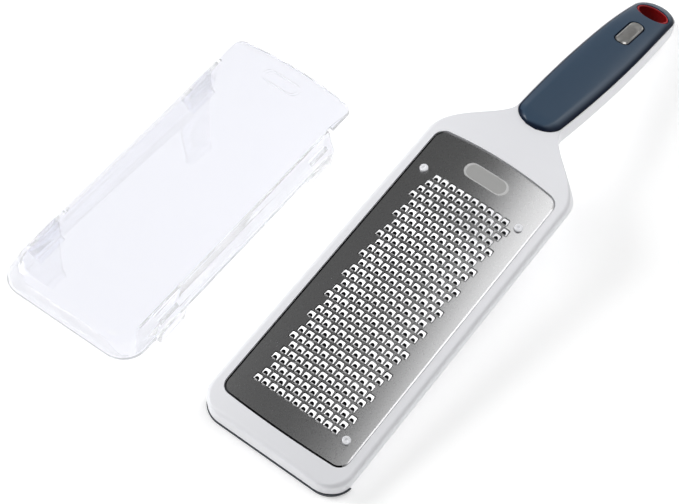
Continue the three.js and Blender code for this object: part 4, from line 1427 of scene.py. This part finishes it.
@dataclass(frozen=True)
class Frame:
    """The white moulding round the plate, with its shoulders, neck and handle, and its soft foot."""

    plate: Plate
    grip: Grip
    stake: Stake
    rim_width: float = 5.35
    rim_rise: float = 0.4
    rim_fillet: float = 2.4
    nose_rim: float = 9.3
    nose_corner: float = 12.0
    nose_fillet: float = 2.4
    depth: float = 11.4
    wall_draft: float = 0.4
    base_fillet: float = 0.8
    ledge_side: float = 3.0
    ledge_near: float = 5.5
    ledge_far: float = 19.6
    ledge_corner: float = 5.0
    ledge_base: float = 6.4
    wall: float = 4.6
    hollow_far_wall: float = 1.5
    hollow_corner: float = 8.0
    boss_width: float = 7.0
    boss_depth: float = 8.0
    boss_web: float = 5.0
    shoulder_lead: float = 3.6
    neck_length: float = 36.0
    base_lag: float = 5.0
    bend_from_plate: float = 20.8
    bend_tangent: float = 15.0
    bend_angle: float = 19.9
    handle_from_bend: float = 8.1
    handle_depth: float = 13.98
    handle_swell: float = 0.8
    handle_fillet: float = 11.0
    handle_lip: float = 0.9
    lip_fillet: float = 0.4
    end_round: float = 9.0
    end_depth: float = 7.5
    end_drop: float = 1.0
    end_first_angle: float = 12.0
    foot_proud: float = 0.8
    foot_rise: float = 1.1
    foot_depth: float = 2.0
    foot_outset: float = 0.2
    foot_wing: float = 1.5
    foot_taper: float = 10.5
    foot_flat: float = 2.0
    foot_edge: float = 0.2
    edge: float = 0.22
    edge_segments: int = 3
    sharp_angle: float = 50.0
    stake_hole_sides: int = 32
    fillet_steps: int = 10
    fillet_most: float = 0.49
    top_steps: int = 24
    nose_steps: int = 16
    neck_steps: int = 44
    handle_steps: int = 16
    tail_steps: int = 14

    @property
    def half(self) -> float:
        """Half of the frame's width."""
        return self.plate.width / 2 + self.rim_width

    @property
    def nose(self) -> float:
        """Place of the nose along the blade."""
        return -self.plate.length / 2 - self.nose_rim

    @property
    def bend_radius(self) -> float:
        """Radius of the bend between blade and handle."""
        return self.bend_tangent / math.tan(math.radians(self.bend_angle) / 2)

    @property
    def bend_start(self) -> float:
        """Where the bend starts, along the spine."""
        return self.plate.length / 2 + self.bend_from_plate - self.bend_tangent

    @property
    def bend_arc(self) -> float:
        """Length of the bend along the spine."""
        return self.bend_radius * math.radians(self.bend_angle)

    @property
    def handle_start(self) -> float:
        """Where the handle's own frame has its origin, along the spine."""
        return self.bend_start + self.bend_arc - self.bend_tangent + self.handle_from_bend

    @property
    def shoulder_start(self) -> float:
        """Where the frame starts to narrow, along the spine."""
        return self.plate.length / 2 - self.shoulder_lead

    def spine(self, distance: float) -> tuple[float, float, float]:
        """Line of the body's top from the nose, round the bend and down the handle.

        Args:
            distance: Place along the line.

        Returns:
            The place's Y and Z, and the angle that the line has turned down.
        """
        full = math.radians(self.bend_angle)
        turned = min(max((distance - self.bend_start) / self.bend_radius, 0.0), full)
        straight = max(distance - self.bend_start - self.bend_arc, 0.0)
        y = min(distance, self.bend_start) + self.bend_radius * math.sin(turned) + straight * math.cos(turned)
        fall = self.bend_radius * (1 - math.cos(turned)) + straight * math.sin(turned)
        return y, self.rim_rise - fall, turned

    def handle_place(self) -> Matrix:
        """Matrix that takes the handle's frame to the blade's.

        Returns:
            The matrix.
        """
        y, z, turned = self.spine(self.bend_start + self.bend_arc)
        back = self.bend_tangent - self.handle_from_bend
        place = Vector((0.0, y - back * math.cos(turned), z + back * math.sin(turned)))
        return Matrix.Translation(place) @ Matrix.Rotation(-turned, 4, "X")

    def fillet(self, before: Vector, corner: Vector, after: Vector, radius: float) -> Outline:
        """Round one corner of an outline that runs anticlockwise.

        Args:
            before: Corner before it.
            corner: Corner that is rounded.
            after: Corner after it.
            radius: Radius of the rounding.

        Returns:
            Points of the rounding.
        """
        back, ahead = before - corner, after - corner
        half = back.angle(ahead) / 2
        reach = min(radius / math.tan(half), self.fillet_most * min(back.length, ahead.length))
        start = corner + back.normalized() * reach
        end = corner + ahead.normalized() * reach
        inward = (start + end) / 2 - corner
        centre = corner + inward.normalized() * (reach / math.cos(half))
        arm = start - centre
        turns = [Matrix.Rotation(angle, 2) for angle in steps(0.0, math.pi - 2 * half, self.fillet_steps)]
        return [centre + turn @ arm for turn in turns]

    def section(
        self,
        top: float,
        base: float,
        depth: float,
        fillets: tuple[float, float],
        arch_share: float,
        drop: float = 0.0,
    ) -> Outline:
        """Cross-section of the body: flat base, leaning sides, and an arched or flat top at height 0.

        Args:
            top: Half of the width at the top.
            base: Half of the width at the base.
            depth: Height of the section.
            fillets: Radii of the top's and the base's corners.
            arch_share: How much of the plate's arch the top has.
            drop: How far the top lies below height 0.

        Returns:
            Points round the section.
        """
        corners = [Vector(c) for c in ((-base, -depth), (base, -depth), (top, -drop), (-top, -drop))]
        radii = (fillets[1], fillets[1], fillets[0], fillets[0])
        around = zip(corners[-1:] + corners[:-1], corners, corners[1:] + corners[:1], radii)
        rounded = [self.fillet(*corner) for corner in around]
        right, left = rounded[2][-1], rounded[3][0]
        across = [right.lerp(left, share) for share in steps(0.0, 1.0, self.top_steps)[1:-1]]
        outline = rounded[0] + rounded[1] + rounded[2] + across + rounded[3]
        lift = [arch_share * self.plate.arch(p.x) * (p.y + depth) / depth for p in outline]
        return [Vector((p.x, p.y + rise)) for p, rise in zip(outline, lift)]

    def standing(self, section: Outline, distance: float) -> list[Vector]:
        """A cross-section stood square on the spine."""
        y, z, tilt = self.spine(distance)
        return [Vector((p.x, y + p.y * math.sin(tilt), z + p.y * math.cos(tilt))) for p in section]

    def shoulder(self, distance: float, start: float) -> float:
        """Share of the frame's width that is left at a distance along a shoulder."""
        share = min(max((distance - start) / self.neck_length, 0.0), 1.0)
        return (1 + math.cos(math.pi * share)) / 2

    def nose_ring(self, angle: float) -> list[Vector]:
        """Ring of the rounded nose, at an angle round its corners.

        Args:
            angle: Angle in radians, 0 at the tip of the nose.

        Returns:
            Points round the ring.
        """
        inset = self.nose_corner * (1 - math.cos(angle))
        half = self.half - self.nose_corner * (1 - math.sin(angle))
        short = max(self.nose_fillet - inset, 0.0)
        drop = self.nose_fillet - math.sqrt(self.nose_fillet**2 - short**2)
        fillets = (self.rim_fillet, self.base_fillet)
        depth = self.depth + self.rim_rise
        section = self.section(half, half - self.wall_draft, depth, fillets, 1.0, drop)
        return self.standing(section, self.nose + inset)

    def neck_ring(self, distance: float) -> list[Vector]:
        """Ring of the shoulders, neck or handle at a distance along the spine.

        Args:
            distance: Place along the spine.

        Returns:
            Points round the ring.
        """
        handle = self.grip.half_at(distance - self.handle_start) + self.handle_lip
        top_share = self.shoulder(distance, self.shoulder_start)
        base_share = self.shoulder(distance, self.shoulder_start + self.base_lag)
        fillets = (
            mix(self.lip_fillet, self.rim_fillet, top_share),
            mix(self.handle_fillet, self.base_fillet, base_share),
        )
        top = mix(handle, self.half, top_share)
        base = mix(handle + self.handle_swell, self.half - self.wall_draft, base_share)
        depth = mix(self.handle_depth, self.depth + self.rim_rise, base_share)
        drop = self.grip.droop(distance - self.handle_start)
        return self.standing(self.section(top, base, depth, fillets, top_share, drop), distance)

    def tail_ring(self, angle: float) -> list[Vector]:
        """Ring of the rounded end of the handle, at an angle round that end.

        Args:
            angle: Angle in radians, 0 at the very end.

        Returns:
            Points round the ring.
        """
        end = self.grip.far_end + self.handle_lip
        along = end - (end - self.grip.tail_at) * (1 - math.cos(angle))
        half = (self.grip.tail_width / 2 + self.handle_lip) * math.sin(angle)
        short = max(1 - (end - along) / self.end_round, 0.0)
        full = math.sqrt(1 - short**2)
        depth = mix(self.end_depth, self.handle_depth, full)
        fillets = (self.lip_fillet, self.handle_fillet)
        base = half + self.handle_swell * math.sin(angle)
        drop = self.end_drop * (1 - full) + self.grip.droop(along)
        section = self.section(half, base, depth, fillets, 0.0, drop)
        return self.standing(section, self.handle_start + along)

    def rings(self) -> list[list[Vector]]:
        """All rings of the body, from the nose to the end of the handle.

        Returns:
            The rings, which all have as many points.
        """
        rings = [self.nose_ring(angle) for angle in steps(0.0, math.pi / 2, self.nose_steps)]
        neck_end = self.shoulder_start + self.base_lag + self.neck_length
        rings += [self.neck_ring(d) for d in steps(self.shoulder_start, neck_end, self.neck_steps)]
        tail = self.handle_start + self.grip.tail_at
        rings += [self.neck_ring(d) for d in steps(neck_end, tail, self.handle_steps)[1:-1]]
        first = math.radians(self.end_first_angle)
        rings += [self.tail_ring(angle) for angle in steps(math.pi / 2, first, self.tail_steps)]
        return rings

    def plate_seat(self) -> bpy.types.Object:
        """Solid that cuts the plate's seat, with a floor that follows the arch.

        Returns:
            The new object.
        """
        across = steps(-self.half, self.half, self.top_steps)
        under = self.plate.thickness + CLEARANCE
        profile = [Vector((x, self.plate.arch(x) - under)) for x in across]
        profile += [Vector((self.half, BEYOND)), Vector((-self.half, BEYOND))]
        rings = [[Vector((p.x, y, p.y)) for p in profile] for y in (-self.plate.length, self.plate.length)]
        slab = Workbench.loft("seat_cutter", rings)
        plan = Workbench.prism("seat_plan", self.plate.plan(CLEARANCE), -BEYOND, BEYOND)
        return Workbench.cut(slab, plan, Cut.COMMON)

    def hollow(self) -> bpy.types.Object:
        """Solid that cuts the window and the hollow under the plate, less the bosses that take the stakes.

        Returns:
            The new object.
        """
        reach = self.plate.length / 2
        corner = self.ledge_corner
        half = self.plate.width / 2 - self.ledge_side
        window = Panel(half, self.ledge_near - reach, reach - self.ledge_far, corner, corner)
        corner = self.hollow_corner
        near, far = self.nose + self.wall, reach - self.hollow_far_wall
        hollow = Panel(self.half - self.wall, near, far, corner, corner)
        space = Workbench.prism("hollow_cutter", hollow.outline(), -BEYOND, -self.ledge_base)
        Workbench.cut(space, Workbench.prism("window", window.outline(), -BEYOND - OVERLAP, BEYOND), Cut.JOIN)
        for x, y in self.plate.stakes().values():
            outline = [p + Vector((x, y)) for p in ellipse(self.boss_width, self.boss_width)]
            Workbench.cut(space, Workbench.prism("boss", outline, -self.boss_depth, self.boss_depth))
            wall = math.copysign(self.half, x)
            low = Vector((min(x, wall), y - self.boss_web / 2, -self.boss_depth))
            high = Vector((max(x, wall), y + self.boss_web / 2, self.boss_depth))
            Workbench.cut(space, Workbench.block("web", low, high))
        return space

    def nose_plan(self, offset: float, far: float) -> Outline:
        """Plan of the nose, grown all round but cut straight at its far side."""
        half, corner = self.half + offset, self.nose_corner + offset
        return Panel(half, self.nose - offset, far, corner, CLEARANCE).outline()

    def nose_band(
        self, name: str, depth: float, reach: float, far: float, low: float, high: float
    ) -> bpy.types.Object:
        """Band round the nose, from a depth inside its outline to a reach outside it.

        Args:
            name: Name of the new object.
            depth: How far it goes into the nose.
            reach: How far it stands out of the nose.
            far: Where its wings end along the blade.
            low: Height of its bottom.
            high: Height of its top.

        Returns:
            The new object.
        """
        band = Workbench.prism(name, self.nose_plan(reach, far), low, high)
        plan = self.nose_plan(-depth, far + BEYOND)
        core = Workbench.prism("band_core", plan, low - OVERLAP, high + OVERLAP)
        return Workbench.cut(band, core)

    @property
    def foot_end(self) -> float:
        """Where the foot's wings end along the blade."""
        return self.nose + self.nose_corner + self.foot_wing

    def foot_groove(self) -> bpy.types.Object:
        """Solid that cuts the seat of the foot.

        Returns:
            The new object.
        """
        far = self.foot_end + CLEARANCE
        groove = self.nose_band("foot_cutter", self.foot_depth + CLEARANCE, BEYOND / 2, far, -BEYOND, 0.0)
        return Workbench.cut(groove, self.foot_roof(CLEARANCE), Cut.COMMON)

    def foot_roof(self, grow: float) -> bpy.types.Object:
        """Solid whose top is the foot's, and slopes down to the wings' ends.

        Args:
            grow: How far it is raised.

        Returns:
            The new object.
        """
        top = grow - self.depth + self.foot_rise
        corner = self.nose + self.foot_flat
        end = self.nose + self.foot_taper + grow
        profile = [(self.nose - BEYOND, -BEYOND), (end, -BEYOND), (end, grow - self.depth - self.foot_proud)]
        profile += [(corner, top), (self.nose - BEYOND, top)]
        reach = self.half + BEYOND
        return Workbench.loft("foot_roof", [[Vector((x, y, z)) for y, z in profile] for x in (-reach, reach)])

    def build_foot(self) -> bpy.types.Object:
        """Model the soft foot round the bottom of the nose.

        Returns:
            The new object.
        """
        base = -self.depth - self.foot_proud
        foot = self.nose_band("nose_strip", self.foot_depth, self.foot_outset, self.foot_end, base, 0.0)
        Workbench.cut(foot, self.foot_roof(0.0), Cut.COMMON)
        Workbench.tidy(foot)
        Workbench.soften(foot, self.foot_edge)
        Workbench.smooth(foot)
        return foot

    def build(self) -> bpy.types.Object:
        """Model the white body in the blade's frame.

        Returns:
            The new object.
        """
        body = Workbench.loft("white_frame", self.rings())
        handle = self.handle_place()
        tools = [self.plate_seat(), self.hollow(), self.foot_groove()]
        tools += [Workbench.place(tool, handle) for tool in (self.grip.recess(), self.grip.hole())]
        hole = self.stake.shank_width + 2 * CLEARANCE
        for x, y in self.plate.stakes().values():
            outline = [p + Vector((x, y)) for p in ellipse(hole, hole, self.stake_hole_sides)]
            tools.append(Workbench.prism("stake_cutter", outline, -BEYOND, BEYOND))
        for tool in tools:
            Workbench.cut(body, tool)
        Workbench.tidy(body)
        Workbench.soften(body, self.edge, self.edge_segments, self.sharp_angle)
        Workbench.smooth(body, self.sharp_angle)
        return body

    def assemble(self, dresser: Dresser, blade: Matrix) -> None:
        """Build and dress the white body and its foot.

        Args:
            dresser: Gives each piece its finish and its body.
            blade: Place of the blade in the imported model.
        """
        body = Workbench.place(self.build(), blade)
        dresser.dress(body, WHITE_PLASTIC, Body.GRATER, "white_plastic", "body_frame")
        foot = Workbench.place(self.build_foot(), blade)
        dresser.dress(foot, NAVY_SOFT_PAINTED_SHADE, Body.GRATER, "navy_soft", "nose_foot")


@dataclass(frozen=True)
class Cover:
    """The clear cover about the middle of its own length, standing on its four clips."""

    length: float = 172.8
    top_width: float = 65.8
    base_width: float = 74.4
    height: float = 24.0
    wall_base: float = 12.4
    wall: float = 1.6
    near_sweep: float = 5.0
    near_corner: float = 12.0
    far_corner: float = 5.0
    far_bow: float = 2.0
    overhang: float = 20.7
    clip_length: float = 20.5
    clip_tip_length: float = 16.5
    clip_spacing: float = 111.0
    clip_lean: float = 1.2
    clip_root: float = 0.8
    clip_hook: float = 2.0
    clip_hook_edge: float = 1.0
    clip_hook_height: float = 3.0
    slot_length: float = 12.5
    slot_height: float = 1.4
    slot_rise: float = 4.0
    slot_inner: float = 0.25
    notch_length: float = 2.5
    notch_depth: float = 1.5
    notch_height: float = 2.6
    edge: float = 0.35
    edge_segments: int = 3
    sharp_angle: float = 40.0
    wall_steps: int = 14
    clip_steps: int = 8
    pill_place: tuple[float, float] = (-1.6, 75.0)
    pill_width: float = 20.5
    pill_height: float = 7.4
    pill_line: float = 0.6
    pill_depth: float = 0.3

    def ring(self, angle: float, wall: float) -> list[Vector]:
        """Outline of the cover at an angle up its curved wall, drawn in by a wall for its inside.

        Args:
            angle: Angle up the wall in radians, 0 at its foot.
            wall: How far it is drawn in.

        Returns:
            Points round the cover.
        """
        rise = math.sin(angle)
        half = self.base_width / 2 - (self.base_width - self.top_width) / 2 * rise - wall
        near = -self.length / 2 + self.near_sweep * (1 - math.cos(angle)) + wall
        far = self.length / 2 - self.far_bow - wall
        panel = Panel(half, near, far, self.near_corner - wall, self.far_corner - wall, self.far_bow)
        return level(panel.outline(), self.wall_base + (self.height - self.wall_base - wall) * rise)

    def stack(self, wall: float) -> list[list[Vector]]:
        """Rings from the foot of the wall to the top."""
        return [self.ring(angle, wall) for angle in steps(0.0, math.pi / 2, self.wall_steps)]

    def clip_bar(self, side: int, end: float) -> bpy.types.Object:
        """Bar with a clip's section, from the wall's foot to the table, with a hook inside its lower end.

        Args:
            side: -1 for the left clip, 1 for the right one.
            end: Place of the clip's far end.

        Returns:
            The new object.
        """
        foot = self.base_width / 2
        tip, inner = foot - self.clip_lean, foot - self.clip_lean - self.wall
        root = self.wall_base + self.clip_root
        lean = (self.base_width - self.top_width) / 2 * self.clip_root / (self.height - self.wall_base)
        section = [(foot, self.wall_base), (foot - lean, root), (foot - lean - self.wall, root)]
        section += [(foot - self.wall, self.wall_base), (inner, self.clip_hook_height)]
        section += [(inner - self.clip_hook, self.clip_hook_edge), (inner - self.clip_hook, 0.0), (tip, 0.0)]
        ends = (end - BEYOND, end + OVERLAP)
        return Workbench.loft("clip_bar", [[Vector((side * x, y, z)) for x, z in section] for y in ends])

    def clip_view(self, side: int, end: float) -> bpy.types.Object:
        """Solid with a clip's side view, whose near edge sweeps in towards the tip.

        Args:
            side: -1 for the left clip, 1 for the right one.
            end: Place of the clip's far end.

        Returns:
            The new object.
        """
        outline = [(end, 0.0), (end, self.height), (end - self.clip_length, self.height)]
        for share in steps(0.0, 1.0, self.clip_steps):
            sweep = share * share * (3 - 2 * share)
            length = mix(self.clip_length, self.clip_tip_length, sweep)
            outline.append((end - length, self.wall_base * (1 - share)))
        reach = side * self.base_width
        return Workbench.loft("clip_view", [[Vector((x, y, z)) for y, z in outline] for x in (0.0, reach)])

    def clip(self, cover: bpy.types.Object, side: int, end: float) -> None:
        """Add a spring clip, a slot through the wall above it and a nick in the top edge beyond it.

        Args:
            cover: Object that is changed.
            side: -1 for the left clip, 1 for the right one.
            end: Place of the clip's far end.
        """
        leg = Workbench.cut(self.clip_bar(side, end), self.clip_view(side, end), Cut.COMMON)
        Workbench.cut(cover, leg, Cut.JOIN)
        reach = self.base_width
        middle, base = end - self.clip_length / 2, self.wall_base + self.slot_rise
        low, high = middle - self.slot_length / 2, middle + self.slot_length / 2
        slot = (reach * self.slot_inner, low, base), (reach, high, base + self.slot_height)
        inner = self.top_width / 2 - self.notch_depth
        nick = (inner, end, self.height - self.notch_height), (reach, end + self.notch_length, BEYOND)
        for near, far in (slot, nick):
            left, right = sorted((side * near[0], side * far[0]))
            tool = Workbench.block("clip_cutter", Vector((left, *near[1:])), Vector((right, *far[1:])))
            Workbench.cut(cover, tool)

    def build(self) -> bpy.types.Object:
        """Model the cover in its own frame.

        Returns:
            The new object.
        """
        cover = Workbench.loft("clear_shell", self.stack(0.0))
        inside = self.stack(self.wall)
        mouth = [Vector((p.x, p.y, -BEYOND)) for p in inside[0]]
        Workbench.cut(cover, Workbench.loft("inside", [mouth, *inside]))
        walls_end = self.length / 2 - self.overhang
        low = Vector((-self.base_width, walls_end, -BEYOND))
        high = Vector((self.base_width, self.length, self.height - self.wall))
        Workbench.cut(cover, Workbench.block("past_walls", low, high))
        for end in (walls_end, walls_end - self.clip_spacing):
            for side in (-1, 1):
                self.clip(cover, side, end)
        Workbench.tidy(cover)
        Workbench.soften(cover, self.edge, self.edge_segments, self.sharp_angle)
        Workbench.cut(cover, self.pill_groove())
        Workbench.smooth(cover, self.sharp_angle, flat_level=True)
        return cover

    def pill_groove(self) -> bpy.types.Object:
        """Solid that cuts the line of the bare pill into the top.

        Returns:
            The new object.
        """
        inner = 1.0 - 2 * self.pill_line / self.pill_height
        low, high = self.height - self.pill_depth, self.height + OVERLAP
        outline = pill(self.pill_width, self.pill_height)
        shares = ((1.0, low), (1.0, high), (inner, high), (inner, low))
        rings = [level([point * share for point in outline], z) for share, z in shares]
        groove = Workbench.tube("pill_groove", rings)
        return Workbench.place(groove, Matrix.Translation((*self.pill_place, 0.0)))

    def assemble(self, dresser: Dresser, place: Matrix) -> None:
        """Build and dress the cover, which lets the studio's light through without a shadow.

        Args:
            dresser: Gives the cover its finish and its body.
            place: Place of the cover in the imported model.
        """
        shell = Workbench.place(self.build(), place)
        shell.visible_shadow = False
        shell.visible_diffuse = False
        dresser.dress(shell, CLEAR_PLASTIC, Body.COVER, "clear_plastic", "clear_cover")


@dataclass(frozen=True)
class SoftBox:
    """One soft studio light."""

    name: str
    place: tuple[float, float, float]
    aim: tuple[float, float, float]
    size: tuple[float, float]
    power: float
    spin: float = 0.0

    def build(self) -> None:
        """Add the light, turned to what it lights."""
        light = bpy.data.lights.new(self.name, "AREA")
        light.shape = "RECTANGLE"
        light.size, light.size_y = self.size
        light.energy = self.power
        lamp = bpy.data.objects.new(self.name, light)
        lamp.location = self.place
        lamp.rotation_mode = "QUATERNION"
        facing = (Vector(self.aim) - Vector(self.place)).to_track_quat("-Z", "Y")
        lamp.rotation_quaternion = facing @ Quaternion((0.0, 0.0, 1.0), math.radians(self.spin))
        bpy.context.scene.collection.objects.link(lamp)


@dataclass(frozen=True)
class Studio:
    """Camera, floor and light."""

    eye: tuple[float, float, float] = (0.29199, -0.53905, 0.79805)
    look: tuple[float, float, float] = (-0.2847, 0.5002, -0.8177)
    roll: float = 8.42
    focal: float = 2137.95
    image_width: float = 679.0
    sensor: float = 36.0
    clip_start: float = 0.01
    floor_size: float = 8.0
    floor_glow: float = 0.33
    floor_color: tuple[float, float, float] = (0.87, 0.87, 0.87)
    # The card under the plate glows as painted light in the plate's shade.
    card_glow: float = 0.8
    card_low: tuple[float, float] = (0.024, -0.141)
    card_high: tuple[float, float] = (0.074, -0.006)
    card_lift: float = 0.0002
    sky: float = 0.1
    wall: float = 0.92
    band: float = 0.5
    band_top: float = 0.1
    sky_base: float = 0.45
    lights: tuple[SoftBox, ...] = (
        SoftBox("key_box", (0.327, 0.338, 1.0), (0.327, 0.338, 0.0), (0.6, 0.75), 3.0, 38.0),
        SoftBox("fill_box", (-2.2, -0.9, 1.5), (0.05, -0.05, 0.0), (1.5, 1.5), 58.0),
        SoftBox("near_box", (-0.15, -0.85, 1.5), (0.05, -0.05, 0.0), (0.9, 0.8), 2.5),
        SoftBox("far_box", (0.35, 1.5, 1.05), (0.05, 0.1, 0.0), (0.8, 0.8), 6.0),
        SoftBox("edge_box", (0.755, 0.265, 0.957), (0.08, -0.05, 0.02), (0.55, 0.2), 1.4),
    )

    def build(self) -> None:
        """Set up the whole studio."""
        self._camera()
        self._floor()
        self._card()
        self._world()
        for light in self.lights:
            light.build()
        bpy.context.scene.view_settings.view_transform = "Standard"

    def _camera(self) -> None:
        """Add the camera at the photograph's viewing angle."""
        lens = bpy.data.cameras.new("studio_camera")
        lens.sensor_width = self.sensor
        lens.lens = self.focal / self.image_width * self.sensor
        lens.clip_start = self.clip_start
        camera = bpy.data.objects.new("studio_camera", lens)
        camera.location = self.eye
        camera.rotation_mode = "QUATERNION"
        straight = Vector(self.look).to_track_quat("-Z", "Y")
        camera.rotation_quaternion = straight @ Quaternion((0.0, 0.0, 1.0), math.radians(self.roll))
        bpy.context.scene.collection.objects.link(camera)
        bpy.context.scene.camera = camera

    def _floor(self) -> None:
        """Add the pale floor, which glows softly as a lit white sweep does."""
        Workbench.clear()
        bpy.ops.mesh.primitive_plane_add(size=self.floor_size)
        floor = bpy.context.object
        floor.name = "studio_floor"
        floor.data.materials.append(self._glowing("studio_floor", self.floor_glow))

    def _card(self) -> None:
        """Lay a glowing white card on the floor under the plate: painted light that keeps the shaded floor
        seen through its slots white.
        """
        Workbench.clear()
        low, high = (Vector((*corner, self.card_lift)) for corner in (self.card_low, self.card_high))
        bpy.ops.mesh.primitive_plane_add(size=1.0, location=(low + high) / 2)
        card = bpy.context.object
        card.name = "painted_light_card"
        card.scale = (high.x - low.x, high.y - low.y, 1.0)
        bpy.ops.object.transform_apply(location=True, rotation=False, scale=True)
        card.data.materials.append(self._glowing("painted_light_card", self.card_glow))

    def _glowing(self, name: str, glow: float) -> bpy.types.Material:
        """Material of a pale sheet that is lit and also glows: the floor softly, as a lit white sweep does,
        and the card under the plate as painted light.

        Args:
            name: Name of the material.
            glow: Strength of its glow.

        Returns:
            The new material.
        """
        material = bpy.data.materials.new(name)
        material.use_nodes = True
        shader = material.node_tree.nodes["Principled BSDF"]
        shader.inputs["Base Color"].default_value = (*self.floor_color, 1.0)
        shader.inputs["Roughness"].default_value = 1.0
        shader.inputs["Specular IOR Level"].default_value = 0.0
        shader.inputs["Emission Color"].default_value = (1.0, 1.0, 1.0, 1.0)
        shader.inputs["Emission Strength"].default_value = glow
        return material

    def _world(self) -> None:
        """Light the room dimly, with pale walls that are seen straight and through clear plastic."""
        world = bpy.data.worlds.new("studio")
        world.use_nodes = True
        tree = world.node_tree
        room = tree.nodes["Background"]
        way = tree.nodes.new("ShaderNodeTexCoord")
        split = tree.nodes.new("ShaderNodeSeparateXYZ")
        fade = tree.nodes.new("ShaderNodeMapRange")
        fade.inputs["From Min"].default_value = self.band_top
        fade.inputs["From Max"].default_value = self.sky_base
        fade.inputs["To Min"].default_value = self.band
        fade.inputs["To Max"].default_value = self.sky
        tree.links.new(way.outputs["Generated"], split.inputs["Vector"])
        tree.links.new(split.outputs["Z"], fade.inputs["Value"])
        tree.links.new(fade.outputs["Result"], room.inputs["Color"])
        wall = tree.nodes.new("ShaderNodeBackground")
        path = tree.nodes.new("ShaderNodeLightPath")
        blend = tree.nodes.new("ShaderNodeMixShader")
        seen = tree.nodes.new("ShaderNodeMath")
        seen.operation = "MAXIMUM"
        tree.links.new(path.outputs["Is Camera Ray"], seen.inputs[0])
        tree.links.new(path.outputs["Is Transmission Ray"], seen.inputs[1])
        tree.links.new(seen.outputs["Value"], blend.inputs["Fac"])
        tree.links.new(room.outputs["Background"], blend.inputs[1])
        tree.links.new(wall.outputs["Background"], blend.inputs[2])
        wall.inputs["Color"].default_value = (self.wall, self.wall, self.wall, 1.0)
        tree.links.new(blend.outputs["Shader"], tree.nodes["World Output"].inputs["Surface"])
        bpy.context.scene.world = world


def main() -> None:
    """Build the studio, the grater and its cover, in order."""
    logging.basicConfig(level=logging.INFO, format="%(name)s: %(message)s")
    stance, dresser = Stance(), Dresser()
    plate, grip, stake = Plate(), Grip(), Stake()
    body = Frame(plate, grip, stake)
    blade = stance.of_blade()
    Studio().build()
    plate.assemble(dresser, blade)
    stake.assemble(dresser, blade, plate)
    body.assemble(dresser, blade)
    grip.assemble(dresser, blade @ body.handle_place())
    Cover().assemble(dresser, stance.of_cover())


if __name__ == "__main__":
    main()
